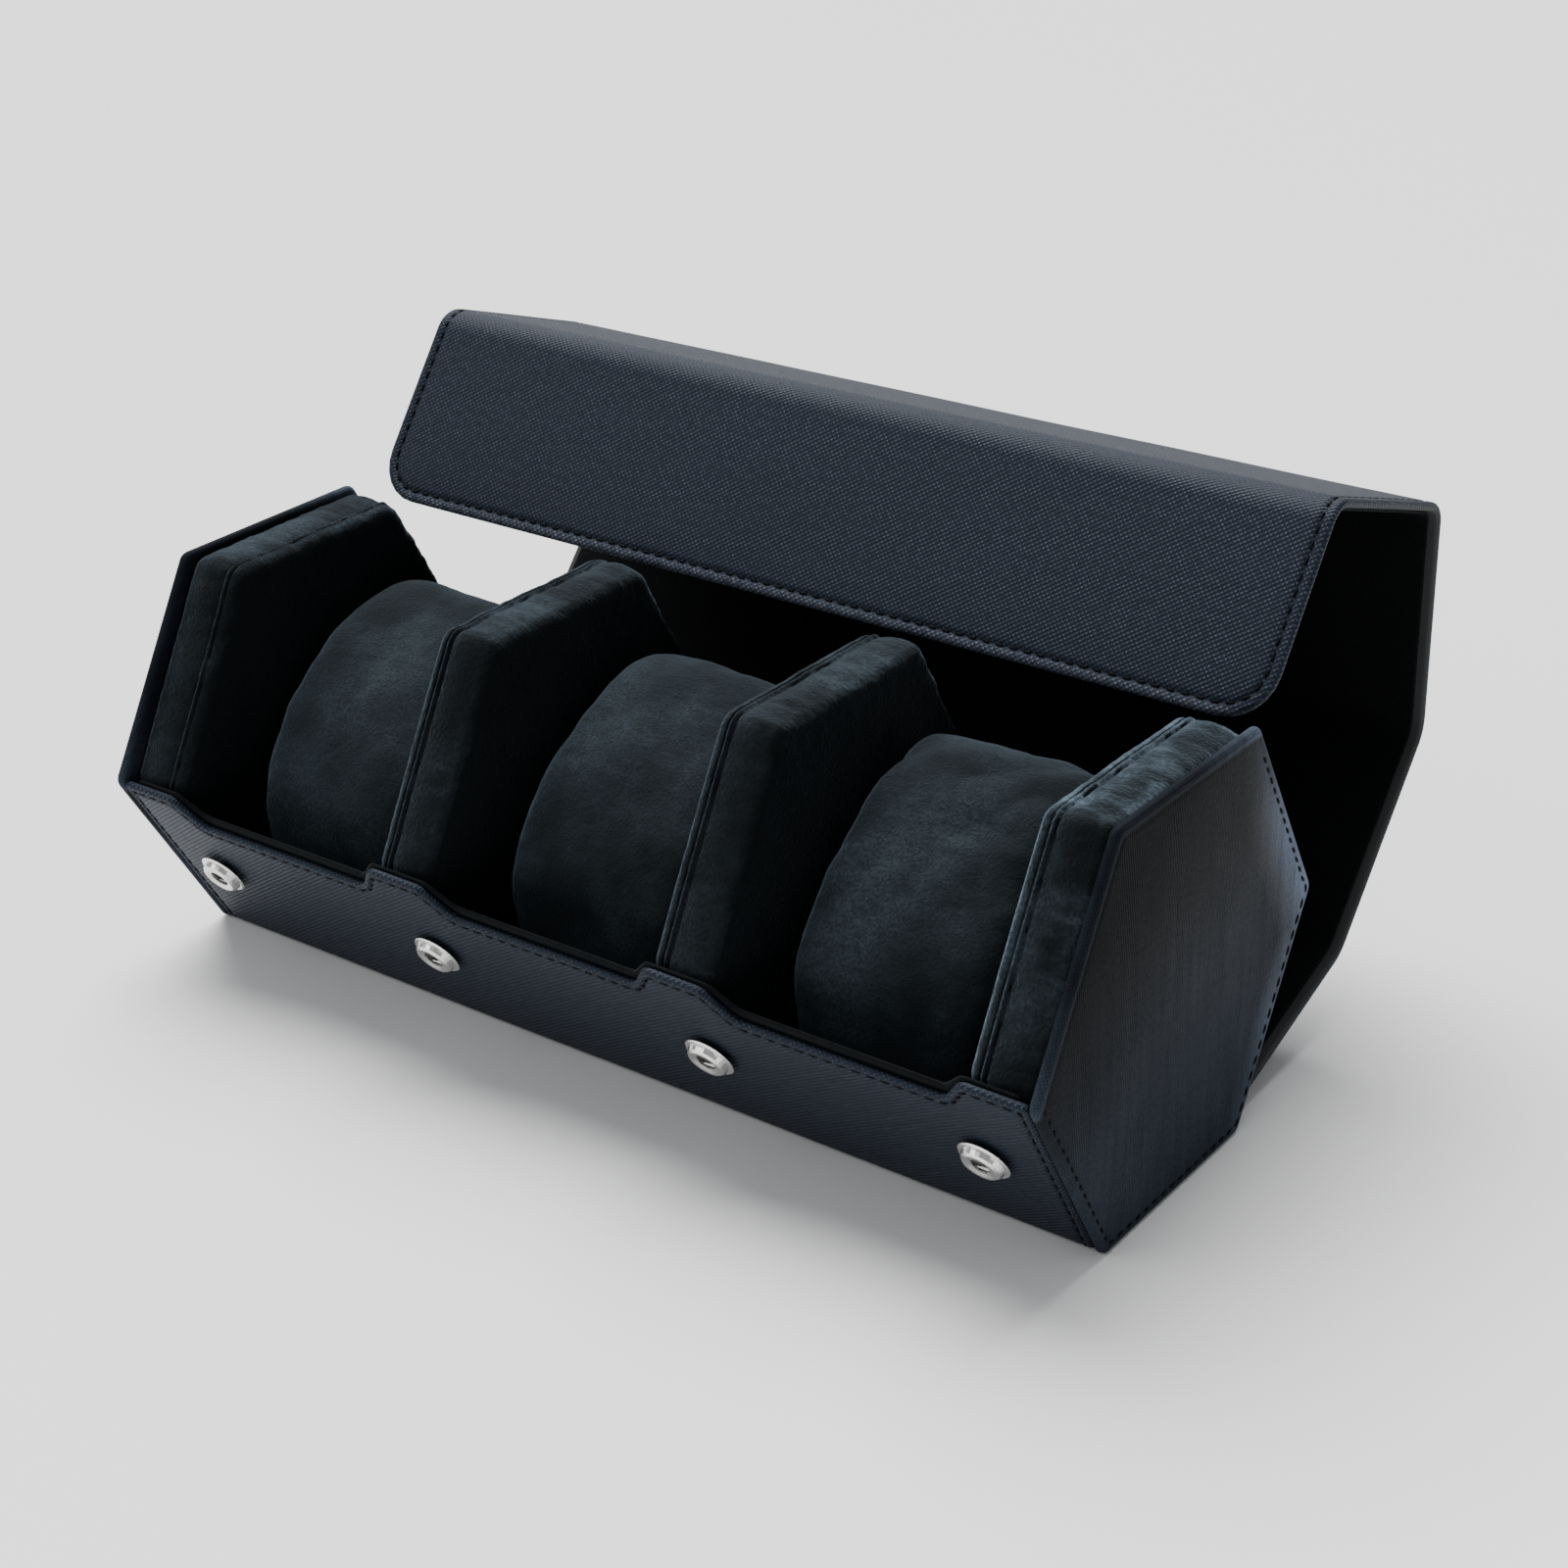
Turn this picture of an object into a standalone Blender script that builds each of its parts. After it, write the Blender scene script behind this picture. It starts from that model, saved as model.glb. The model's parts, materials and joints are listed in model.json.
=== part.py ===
"""Hexagonal travel roll for three watches, standing open with its wrap-around lid rolled back.

Two hexagonal end panels, two end pads and two dividers stand on the bottom and front panels of a
leather-covered wrap. The wrap goes on behind as five stiff panels, each folding on the one before, and
the last of them is the closing flap, whose four studs snap into the sockets on the front panel.

Frame: +X along the roll, +Y to the back, +Z up, origin on the table under the middle of the bottom panel.
A folded panel is modelled in a frame of its own: its fold line is local X, local +Y runs along the panel
away from the fold, and local +Z points into the roll, so the outer leather face is local z = 0.
"""
import math

import bmesh
import bpy
from mathutils import Matrix, Vector

MM = 0.001

# Case: a regular hexagon seen from the end, standing on one of its faces
HEX_SIDE = 49.5 * MM
END_THICKNESS = 2.2 * MM
END_CORNER_RADIUS = 2.4 * MM
END_RIM_RADIUS = 0.8 * MM

# Wrap: board covered in leather, with a velvet lining inside
WRAP_THICKNESS = 1.8 * MM
LINING_THICKNESS = 0.5 * MM
LINING_MARGIN = 2.0 * MM
LID_SIDE_CLEARANCE = 0.5 * MM
PANEL_EDGE_RADIUS = 0.45 * MM

# Folds: how far each lid panel turns from the one before it, from the bottom panel round to the flap
FOLD_TURNS = (18.3, 31.1, 41.2, 70.8, 72.3)
CLOSED_TURN = 60.0
FOLD_MITRE = 45.0
FOLD_GAP = 0.3 * MM
FLAP_LENGTH = 44.5 * MM
FLAP_CORNER_RADIUS = 10.0 * MM

# Front panel: its top edge dips between the dividers so that a watch can be lifted out
TOP_EDGE_DROP = 0.4 * MM
RECESS_DEPTH = 7.5 * MM
RECESS_SLANT = 5.0 * MM
RECESS_CORNER_RADIUS = 3.0 * MM
LIP_HEIGHT = 1.8 * MM

# Filling: plush-covered end pads and dividers, and a cushion between each two
COMPARTMENT_WIDTH = 55.0 * MM
DIVIDER_THICKNESS = 13.75 * MM
END_PAD_THICKNESS = 14.0 * MM
PAD_CORNER_RADIUS = 3.0 * MM
PAD_EDGE_RADIUS = 1.6 * MM
CUSHION_SIDE_GAP = 2.5 * MM
CUSHION_TOP_DROP = 11.0 * MM
CUSHION_FRONT_GAP = 16.0 * MM
CUSHION_BACK_GAP = 21.5 * MM
CUSHION_CROWN_Y = 11.0 * MM
CUSHION_END_ROUNDING = 6.0 * MM
CUSHION_END_SHARE = 0.94
SHOULDER_FLATNESS = 1.6
BACK_FLATNESS = 2.2

# Press snaps: a socket, its spring and its rivet at each place on the front panel, a stud on the flap
SNAP_END_DISTANCE = 15.0 * MM
SNAP_DROP = 24.3 * MM
SOCKET_RADIUS = 5.35 * MM
SOCKET_HEIGHT = 2.4 * MM
SOCKET_TOP_WALL = 0.6 * MM
SOCKET_MOUTH_RADIUS = 2.1 * MM
SOCKET_MOUTH_DISH = 0.3 * MM
SOCKET_CREST_RADIUS = 3.3 * MM
SOCKET_GROOVE_RADIUS = 4.55 * MM
SOCKET_GROOVE_DROP = 1.4 * MM
SOCKET_SHOULDER_DROP = 0.4 * MM
SOCKET_RIM_WIDTH = 0.35 * MM
SOCKET_RIM_HEIGHT = 0.5 * MM
SOCKET_WALL = 0.35 * MM
SOCKET_RIM_DEPTH = 1.7 * MM
SPRING_WIRE_RADIUS = 0.22 * MM
SPRING_OFFSET = 1.75 * MM
RIVET_SHANK_RADIUS = 1.0 * MM
RIVET_FLARE_RADIUS = 1.7 * MM
RIVET_FLARE_THICKNESS = 0.25 * MM
RIVET_HEAD_RADIUS = 3.2 * MM
RIVET_HEAD_THICKNESS = 0.35 * MM
STUD_HEAD_RADIUS = 1.75 * MM
STUD_HEAD_HEIGHT = 1.4 * MM
STUD_NECK_RADIUS = 1.3 * MM
STUD_NECK_LENGTH = 0.5 * MM
STUD_FLANGE_RADIUS = 4.2 * MM
STUD_FLANGE_THICKNESS = 0.4 * MM
STUD_FLANGE_CHAMFER = 0.25 * MM

# Clearances
FIT_GAP = 0.3 * MM
HOLE_CLEARANCE = 0.25 * MM
CUT_OVERRUN = 2.0 * MM

# Worked out from the sizes above
IN_RADIUS = HEX_SIDE * math.sqrt(3) / 2
PAD_INNER_X = 1.5 * COMPARTMENT_WIDTH + DIVIDER_THICKNESS
CASE_LENGTH = 2 * (PAD_INNER_X + END_PAD_THICKNESS + FIT_GAP + END_THICKNESS)
WRAP_LENGTH = CASE_LENGTH - 2 * (END_THICKNESS + FIT_GAP)
LID_LENGTH = WRAP_LENGTH - 2 * LID_SIDE_CLEARANCE
LINING_LIFT = WRAP_THICKNESS + FIT_GAP
LINED_THICKNESS = LINING_LIFT + LINING_THICKNESS
FILLING_SIDE = (IN_RADIUS - LINED_THICKNESS - FIT_GAP) * 2 / math.sqrt(3)
DIVIDER_X = (COMPARTMENT_WIDTH + DIVIDER_THICKNESS) / 2
COMPARTMENT_X = COMPARTMENT_WIDTH + DIVIDER_THICKNESS
CUSHION_WIDTH = COMPARTMENT_WIDTH - 2 * CUSHION_SIDE_GAP
CUSHION_HEIGHT = 2 * IN_RADIUS - CUSHION_TOP_DROP - LINED_THICKNESS - FIT_GAP
CUSHION_FRONT_REACH = HEX_SIDE - CUSHION_FRONT_GAP + CUSHION_CROWN_Y
CUSHION_BACK_REACH = HEX_SIDE - CUSHION_BACK_GAP - CUSHION_CROWN_Y
CLOSED_MITRE = CLOSED_TURN / 2

LEATHER = ((0.013, 0.016, 0.024, 1.0), 0.48, 0.0)
VELVET = ((0.006, 0.009, 0.011, 1.0), 0.95, 0.0)
PLUSH = ((0.008, 0.012, 0.014, 1.0), 0.98, 0.0)
NICKEL = ((0.74, 0.73, 0.70, 1.0), 0.22, 1.0)


def clear_scene():
    for old in list(bpy.data.objects):
        bpy.data.objects.remove(old, do_unlink=True)


def new_collection(name):
    collection = bpy.data.collections.new(name)
    bpy.context.scene.collection.children.link(collection)
    return collection


def finish(obj, look):
    """Give an object a Principled material of its own."""
    colour, roughness, metallic = look
    material = bpy.data.materials.new(obj.name + "_finish")
    material.use_nodes = True
    shader = material.node_tree.nodes["Principled BSDF"]
    shader.inputs["Base Color"].default_value = colour
    shader.inputs["Roughness"].default_value = roughness
    shader.inputs["Metallic"].default_value = metallic
    material.diffuse_color = colour
    obj.data.materials.append(material)


def place(obj, collection, parent=None, location=(0, 0, 0), rotation=(0, 0, 0)):
    collection.objects.link(obj)
    obj.parent = parent
    obj.location = location
    obj.rotation_euler = rotation
    return obj


def object_from_bmesh(name, bm):
    mesh = bpy.data.meshes.new(name)
    bm.to_mesh(mesh)
    bm.free()
    return bpy.data.objects.new(name, mesh)


def add_bevel(obj, width, segments, angle=30.0):
    bevel = obj.modifiers.new("edge", "BEVEL")
    bevel.width = width
    bevel.segments = segments
    bevel.limit_method = "ANGLE"
    bevel.angle_limit = math.radians(angle)


def smooth_by_angle(obj, angle=35.0):
    obj.data.shade_smooth()
    obj.data.set_sharp_from_angle(angle=math.radians(angle))


# Frames

def frame_empty(name, collection, parent=None, location=(0, 0, 0), turn=0.0):
    """An empty on a fold line, turned about it."""
    empty = bpy.data.objects.new(name, None)
    empty.empty_display_size = 10 * MM
    return place(empty, collection, parent, location, (math.radians(turn), 0, 0))


# Panels of the wrap

def mitred_plate(name, run, length, low, high, mitre_start, mitre_end, end_inset=FOLD_GAP / 2):
    """A plate from the fold at y = 0 to y = run, its ends sloping in from the outer face."""
    slope_start = math.tan(math.radians(mitre_start))
    slope_end = math.tan(math.radians(mitre_end))
    bm = bmesh.new()
    bmesh.ops.create_cube(bm, size=1.0)
    for vert in bm.verts:
        z = low if vert.co.z < 0 else high
        start = FOLD_GAP / 2 + z * slope_start
        end = run - end_inset - z * slope_end
        vert.co = (vert.co.x * length, start if vert.co.y < 0 else end, z)
    return bm


def round_free_corners(bm, radius):
    """Round the two corners of the edge that lies furthest from the fold."""
    far = max(vert.co.y for vert in bm.verts)
    corners = [
        edge for edge in bm.edges
        if all(abs(vert.co.y - far) < 0.01 * MM for vert in edge.verts)
        and abs(edge.verts[0].co.x - edge.verts[1].co.x) < 0.01 * MM
    ]
    bmesh.ops.bevel(bm, geom=corners, offset=radius, segments=8, profile=0.5, affect="EDGES")


def lid_panel(name, parts, fold, run, mitre_end, corner=0.0):
    bm = mitred_plate(name, run, LID_LENGTH, 0.0, WRAP_THICKNESS, FOLD_MITRE, mitre_end)
    if corner:
        round_free_corners(bm, corner)
    panel = place(object_from_bmesh(name, bm), parts, fold)
    add_bevel(panel, PANEL_EDGE_RADIUS, 2)
    smooth_by_angle(panel)
    finish(panel, LEATHER)
    return panel


def lid_lining(name, parts, fold, run, mitre_end, corner=0.0):
    inset = LINING_MARGIN if corner else FOLD_GAP / 2
    length = LID_LENGTH - 2 * LINING_MARGIN
    bm = mitred_plate(name, run, length, LINING_LIFT, LINED_THICKNESS, FOLD_MITRE, mitre_end, inset)
    if corner:
        round_free_corners(bm, corner - LINING_MARGIN)
    lining = place(object_from_bmesh(name, bm), parts, fold)
    finish(lining, VELVET)
    return lining


def rounded_outline(corners, radius, steps=4):
    """Replace each corner that has a radius by an arc tangent to its two sides."""
    points = []
    for i, (corner, rounded) in enumerate(corners):
        here = Vector(corner)
        if not rounded:
            points.append(here)
            continue
        before = (Vector(corners[i - 1][0]) - here).normalized()
        after = (Vector(corners[(i + 1) % len(corners)][0]) - here).normalized()
        half = before.angle(after) / 2
        centre = here + (before + after).normalized() * radius / math.sin(half)
        start = (here + before * radius / math.tan(half) - centre).normalized()
        end = (here + after * radius / math.tan(half) - centre).normalized()
        for step in range(steps + 1):
            points.append(centre + start.slerp(end, step / steps) * radius)
    return points


def front_corners(length, recess_depth):
    """Outline of the front panel: the fold at y = 0, the top edge towards -y, a dip at each compartment."""
    top = -HEX_SIDE + TOP_EDGE_DROP
    dip = top + recess_depth
    fold = -FOLD_GAP / 2
    corners = [((-length / 2, fold), False), ((-length / 2, top), False)]
    for x in (-COMPARTMENT_X, 0.0, COMPARTMENT_X):
        low, high = x - COMPARTMENT_WIDTH / 2, x + COMPARTMENT_WIDTH / 2
        corners += [((low, top), True), ((low + RECESS_SLANT, dip), True)]
        corners += [((high - RECESS_SLANT, dip), True), ((high, top), True)]
    return corners + [((length / 2, top), False), ((length / 2, fold), False)]


def front_plate(name, parts, frame, length, recess_depth, low, high, look):
    """A plate of the front panel's outline, made from a filled flat curve."""
    points = rounded_outline(front_corners(length, recess_depth), RECESS_CORNER_RADIUS)
    curve = bpy.data.curves.new(name + "_outline", "CURVE")
    curve.dimensions = "2D"
    curve.fill_mode = "BOTH"
    curve.extrude = (high - low) / 2
    spline = curve.splines.new("POLY")
    spline.points.add(len(points) - 1)
    for point, (x, y) in zip(spline.points, points):
        point.co = (x, y, 0, 1)
    spline.use_cyclic_u = True
    outline = bpy.data.objects.new(name + "_outline", curve)
    bpy.context.scene.collection.objects.link(outline)
    bpy.context.view_layer.update()
    evaluated = outline.evaluated_get(bpy.context.evaluated_depsgraph_get())
    mesh = bpy.data.meshes.new_from_object(evaluated)
    bpy.data.objects.remove(outline)
    slope = math.tan(math.radians(CLOSED_MITRE))
    bm = bmesh.new()
    bm.from_mesh(mesh)
    bmesh.ops.remove_doubles(bm, verts=bm.verts, dist=0.001 * MM)
    for vert in bm.verts:
        vert.co.z += (low + high) / 2
        if vert.co.y > -FOLD_GAP:
            vert.co.y -= vert.co.z * slope
    bmesh.ops.recalc_face_normals(bm, faces=bm.faces)
    bm.to_mesh(mesh)
    bm.free()
    plate = place(bpy.data.objects.new(name, mesh), parts, frame)
    finish(plate, look)
    return plate


def bottom_plate(name, parts, frame, length, low, high, look):
    bm = mitred_plate(name, HEX_SIDE, length, low, high, CLOSED_MITRE, FOLD_MITRE)
    plate = place(object_from_bmesh(name, bm), parts, frame)
    finish(plate, look)
    return plate


# Hexagonal pieces

def hexagon(name, parts, side, thickness, x, corner_radius, edge_radius, segments, look):
    """A hexagonal slab across the roll, with rounded corners and edges."""
    bm = bmesh.new()
    bmesh.ops.create_cone(
        bm, cap_ends=True, segments=6, radius1=side, radius2=side, depth=thickness,
        matrix=Matrix.Rotation(math.radians(30), 4, "Z"),
    )
    uprights = [e for e in bm.edges if abs(e.verts[0].co.z - e.verts[1].co.z) > thickness / 2]
    bmesh.ops.bevel(bm, geom=uprights, offset=corner_radius, segments=3, profile=0.5, affect="EDGES")
    slab = object_from_bmesh(name, bm)
    # the slab's axis is turned from Z to X, and its corners lie to the front and to the back
    place(slab, parts, None, (x, 0, IN_RADIUS), (math.radians(90), 0, math.radians(90)))
    add_bevel(slab, edge_radius, segments, 60.0)
    smooth_by_angle(slab)
    finish(slab, look)
    return slab


# Cushions

def cushion_section(points):
    """Section of a cushion about its widest level: long flattened shoulders in front, rounder behind."""
    section = []
    for i in range(points):
        angle = 2 * math.pi * i / points
        sine, cosine = math.sin(angle), math.cos(angle)
        front = cosine < 0
        reach = CUSHION_FRONT_REACH if front else CUSHION_BACK_REACH
        power = 2 / (SHOULDER_FLATNESS if front else BACK_FLATNESS)
        y = math.copysign(abs(cosine) ** power, cosine) * reach
        z = math.copysign(abs(sine) ** power, sine) * CUSHION_HEIGHT / 2
        section.append((y, z))
    return section


def cushion(name, parts, x):
    """A coarse cage of five rings, made soft by subdivision."""
    count = 16
    # a subdivided ring lies inside its cage by this factor
    swell = 3 / (2 + math.cos(2 * math.pi / count))
    half = CUSHION_WIDTH / 2
    inner = half - CUSHION_END_ROUNDING
    rings = (
        (-half, CUSHION_END_SHARE), (-inner, 1.0), (0.0, 1.0), (inner, 1.0), (half, CUSHION_END_SHARE),
    )
    bm = bmesh.new()
    loops = []
    for ring_x, scale in rings:
        factor = scale * swell
        loops.append([bm.verts.new((ring_x, y * factor, z * factor)) for y, z in cushion_section(count)])
    for first, second in zip(loops, loops[1:]):
        for i in range(count):
            j = (i + 1) % count
            bm.faces.new((first[i], first[j], second[j], second[i]))
    bm.faces.new(loops[0])
    bm.faces.new(loops[-1])
    bmesh.ops.recalc_face_normals(bm, faces=bm.faces)
    pillow = object_from_bmesh(name, bm)
    rest = LINED_THICKNESS + FIT_GAP + CUSHION_HEIGHT / 2
    place(pillow, parts, None, (x, CUSHION_CROWN_Y, rest))
    soft = pillow.modifiers.new("soft", "SUBSURF")
    soft.levels = 1
    soft.render_levels = 1
    pillow.data.shade_smooth()
    finish(pillow, VELVET)
    return pillow


# Press snaps: turned pieces, drawn as (radius, height) from the top of the outer side down

def turned(name, profile, steps, closed):
    mesh = bpy.data.meshes.new(name)
    edges = [(i, i + 1) for i in range(len(profile) - 1)]
    if closed:
        edges.append((len(profile) - 1, 0))
    mesh.from_pydata([(radius, 0, height) for radius, height in profile], edges, [])
    obj = bpy.data.objects.new(name, mesh)
    screw = obj.modifiers.new("turn", "SCREW")
    screw.axis = "Z"
    screw.steps = steps
    screw.render_steps = steps
    screw.use_merge_vertices = True
    screw.merge_threshold = 0.001 * MM
    return obj


def socket_profile():
    """A shallow domed cup, dished round its mouth, with a groove inside its rim and room for the spring."""
    top = FIT_GAP + SOCKET_HEIGHT
    floor = FIT_GAP
    throat = RIVET_SHANK_RADIUS + HOLE_CLEARANCE
    chamber = SOCKET_RADIUS - SOCKET_RIM_DEPTH
    groove = top - SOCKET_GROOVE_DROP
    rim = groove - SOCKET_RIM_HEIGHT
    return [
        (SOCKET_MOUTH_RADIUS, top - SOCKET_MOUTH_DISH),
        (SOCKET_CREST_RADIUS - SOCKET_MOUTH_DISH, top),
        (SOCKET_CREST_RADIUS + SOCKET_MOUTH_DISH, top),
        ((SOCKET_CREST_RADIUS + SOCKET_GROOVE_RADIUS + SOCKET_MOUTH_DISH) / 2, top - SOCKET_SHOULDER_DROP),
        (SOCKET_GROOVE_RADIUS - SOCKET_RIM_WIDTH / 2, groove + SOCKET_MOUTH_DISH),
        (SOCKET_GROOVE_RADIUS, groove),
        (SOCKET_RADIUS - SOCKET_RIM_WIDTH, groove),
        (SOCKET_RADIUS, groove - SOCKET_RIM_HEIGHT / 2),
        (SOCKET_RADIUS - SOCKET_RIM_WIDTH / 2, rim),
        (chamber + SOCKET_WALL, floor),
        (chamber, floor),
        (throat, floor),
        (throat, floor + SOCKET_WALL),
        (chamber - SOCKET_WALL, floor + SOCKET_WALL),
        (chamber - SOCKET_WALL, top - SOCKET_TOP_WALL),
        (SOCKET_MOUTH_RADIUS, top - SOCKET_TOP_WALL),
    ]


def rivet_profile():
    """A shank through the board, its head let into the inside and its end flared in the socket."""
    flare = FIT_GAP + SOCKET_WALL + FIT_GAP
    head = -WRAP_THICKNESS + RIVET_HEAD_THICKNESS
    return [
        (0.0, flare + RIVET_FLARE_THICKNESS),
        (RIVET_FLARE_RADIUS, flare + RIVET_FLARE_THICKNESS),
        (RIVET_FLARE_RADIUS, flare),
        (RIVET_SHANK_RADIUS, flare),
        (RIVET_SHANK_RADIUS, head),
        (RIVET_HEAD_RADIUS, head),
        (RIVET_HEAD_RADIUS, -WRAP_THICKNESS),
        (0.0, -WRAP_THICKNESS),
    ]


def rivet_hole_profile():
    """The rivet's hole through the board and the recess for its head."""
    recess = -WRAP_THICKNESS + RIVET_HEAD_THICKNESS + HOLE_CLEARANCE
    return [
        (0.0, CUT_OVERRUN),
        (RIVET_SHANK_RADIUS + HOLE_CLEARANCE, CUT_OVERRUN),
        (RIVET_SHANK_RADIUS + HOLE_CLEARANCE, recess),
        (RIVET_HEAD_RADIUS + HOLE_CLEARANCE, recess),
        (RIVET_HEAD_RADIUS + HOLE_CLEARANCE, -WRAP_THICKNESS - CUT_OVERRUN),
        (0.0, -WRAP_THICKNESS - CUT_OVERRUN),
    ]


def stud_profile():
    """A rounded head on a neck, a flange on the lining and a shank let into the flap's board."""
    seat = LINED_THICKNESS + FIT_GAP
    flange = seat + STUD_FLANGE_THICKNESS
    half = STUD_HEAD_HEIGHT / 2
    under = -math.acos(STUD_NECK_RADIUS / STUD_HEAD_RADIUS)
    middle = flange + STUD_NECK_LENGTH - half * math.sin(under)
    points = [(0.0, middle + half)]
    steps = 5
    for step in range(1, steps + 1):
        angle = math.pi / 2 + (under - math.pi / 2) * step / steps
        points.append((STUD_HEAD_RADIUS * math.cos(angle), middle + half * math.sin(angle)))
    return points + [
        (STUD_NECK_RADIUS, flange),
        (STUD_FLANGE_RADIUS - STUD_FLANGE_CHAMFER, flange),
        (STUD_FLANGE_RADIUS, flange - STUD_FLANGE_CHAMFER),
        (STUD_FLANGE_RADIUS, seat),
        (STUD_NECK_RADIUS, seat),
        (STUD_NECK_RADIUS, WRAP_THICKNESS / 2),
        (0.0, WRAP_THICKNESS / 2),
    ]


def stud_hole_profile():
    """The blind hole for a stud's shank, through the lining and into the board."""
    return [
        (0.0, LINED_THICKNESS + CUT_OVERRUN),
        (STUD_NECK_RADIUS + HOLE_CLEARANCE, LINED_THICKNESS + CUT_OVERRUN),
        (STUD_NECK_RADIUS + HOLE_CLEARANCE, WRAP_THICKNESS / 2 - HOLE_CLEARANCE),
        (0.0, WRAP_THICKNESS / 2 - HOLE_CLEARANCE),
    ]


def spring_hairpin(name):
    """A wire hairpin lying in the socket: its two legs close on the stud's neck."""
    flare_top = FIT_GAP + SOCKET_WALL + FIT_GAP + RIVET_FLARE_THICKNESS
    level = flare_top + FIT_GAP + SPRING_WIRE_RADIUS
    room = SOCKET_RADIUS - SOCKET_RIM_DEPTH - SOCKET_WALL - FIT_GAP - SPRING_WIRE_RADIUS
    bend_x = room - SPRING_OFFSET
    tip_x = -math.sqrt(room ** 2 - SPRING_OFFSET ** 2)
    points = [(tip_x, SPRING_OFFSET)]
    for step in range(7):
        angle = math.radians(90 - 30 * step)
        points.append((bend_x + SPRING_OFFSET * math.cos(angle), SPRING_OFFSET * math.sin(angle)))
    points.append((tip_x, -SPRING_OFFSET))
    curve = bpy.data.curves.new(name, "CURVE")
    curve.dimensions = "3D"
    curve.bevel_depth = SPRING_WIRE_RADIUS
    curve.bevel_resolution = 1
    curve.use_fill_caps = True
    spline = curve.splines.new("POLY")
    spline.points.add(len(points) - 1)
    for point, (x, y) in zip(spline.points, points):
        point.co = (x, y, level, 1)
    return bpy.data.objects.new(name, curve)


def as_cutter(obj, cutters):
    obj.display_type = "WIRE"
    obj.hide_render = True
    cutters.objects.link(obj)


def cut_with(obj, collection):
    cut = obj.modifiers.new("holes", "BOOLEAN")
    cut.operation = "DIFFERENCE"
    cut.operand_type = "COLLECTION"
    cut.collection = collection
    cut.solver = "EXACT"


def snap_places():
    """One snap over the middle of each divider and one near each end of the wrap."""
    end = WRAP_LENGTH / 2 - SNAP_END_DISTANCE
    return [-end, -DIVIDER_X, DIVIDER_X, end]


def front_snaps(parts, cutters, frame):
    """Sockets, springs and rivets, pointing out of the front panel."""
    outwards = (math.pi, 0, 0)
    y = -HEX_SIDE + SNAP_DROP
    for number, x in enumerate(snap_places(), 1):
        pieces = (
            turned(f"snap_socket_{number}", socket_profile(), 28, True),
            turned(f"snap_rivet_{number}", rivet_profile(), 16, False),
            spring_hairpin(f"snap_spring_{number}"),
        )
        for piece in pieces:
            place(piece, parts, frame, (x, y, 0), outwards)
            finish(piece, NICKEL)
        hole = turned(f"rivet_hole_{number}", rivet_hole_profile(), 16, False)
        hole.parent = frame
        hole.location = (x, y, 0)
        hole.rotation_euler = outwards
        as_cutter(hole, cutters)


def flap_studs(parts, cutters, fold):
    for number, x in enumerate(snap_places(), 1):
        stud = turned(f"snap_stud_{number}", stud_profile(), 20, False)
        place(stud, parts, fold, (x, SNAP_DROP, 0))
        finish(stud, NICKEL)
        hole = turned(f"stud_hole_{number}", stud_hole_profile(), 16, False)
        hole.parent = fold
        hole.location = (x, SNAP_DROP, 0)
        as_cutter(hole, cutters)


# Assembly

def build_base(parts, cutters):
    bottom = frame_empty("bottom_frame", parts, None, (0, -HEX_SIDE / 2, 0))
    front = frame_empty("front_fold", parts, None, (0, -HEX_SIDE / 2, 0), -CLOSED_TURN)
    lining_length = WRAP_LENGTH - 2 * LINING_MARGIN
    bottom_plate("bottom_panel", parts, bottom, WRAP_LENGTH, 0.0, WRAP_THICKNESS, LEATHER)
    bottom_plate("floor_lining", parts, bottom, lining_length, LINING_LIFT, LINED_THICKNESS, VELVET)
    panel = front_plate(
        "front_panel", parts, front, WRAP_LENGTH, RECESS_DEPTH, 0.0, WRAP_THICKNESS, LEATHER
    )
    front_plate(
        "front_lining", parts, front, lining_length, RECESS_DEPTH - LIP_HEIGHT,
        LINING_LIFT, LINED_THICKNESS, VELVET,
    )
    front_snaps(parts, cutters, front)
    cut_with(panel, cutters)

    end_x = CASE_LENGTH / 2 - END_THICKNESS / 2
    pad_x = PAD_INNER_X + END_PAD_THICKNESS / 2
    for side, sign in (("left", -1), ("right", 1)):
        hexagon(
            f"{side}_end_panel", parts, HEX_SIDE, END_THICKNESS, sign * end_x,
            END_CORNER_RADIUS, END_RIM_RADIUS, 2, LEATHER,
        )
        hexagon(
            f"{side}_end_pad", parts, FILLING_SIDE, END_PAD_THICKNESS, sign * pad_x,
            PAD_CORNER_RADIUS, PAD_EDGE_RADIUS, 3, PLUSH,
        )
        hexagon(
            f"{side}_divider", parts, FILLING_SIDE, DIVIDER_THICKNESS, sign * DIVIDER_X,
            PAD_CORNER_RADIUS, PAD_EDGE_RADIUS, 3, PLUSH,
        )
    for side, sign in (("left", -1), ("middle", 0), ("right", 1)):
        cushion(f"cushion_{side}", parts, sign * COMPARTMENT_X)


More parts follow.
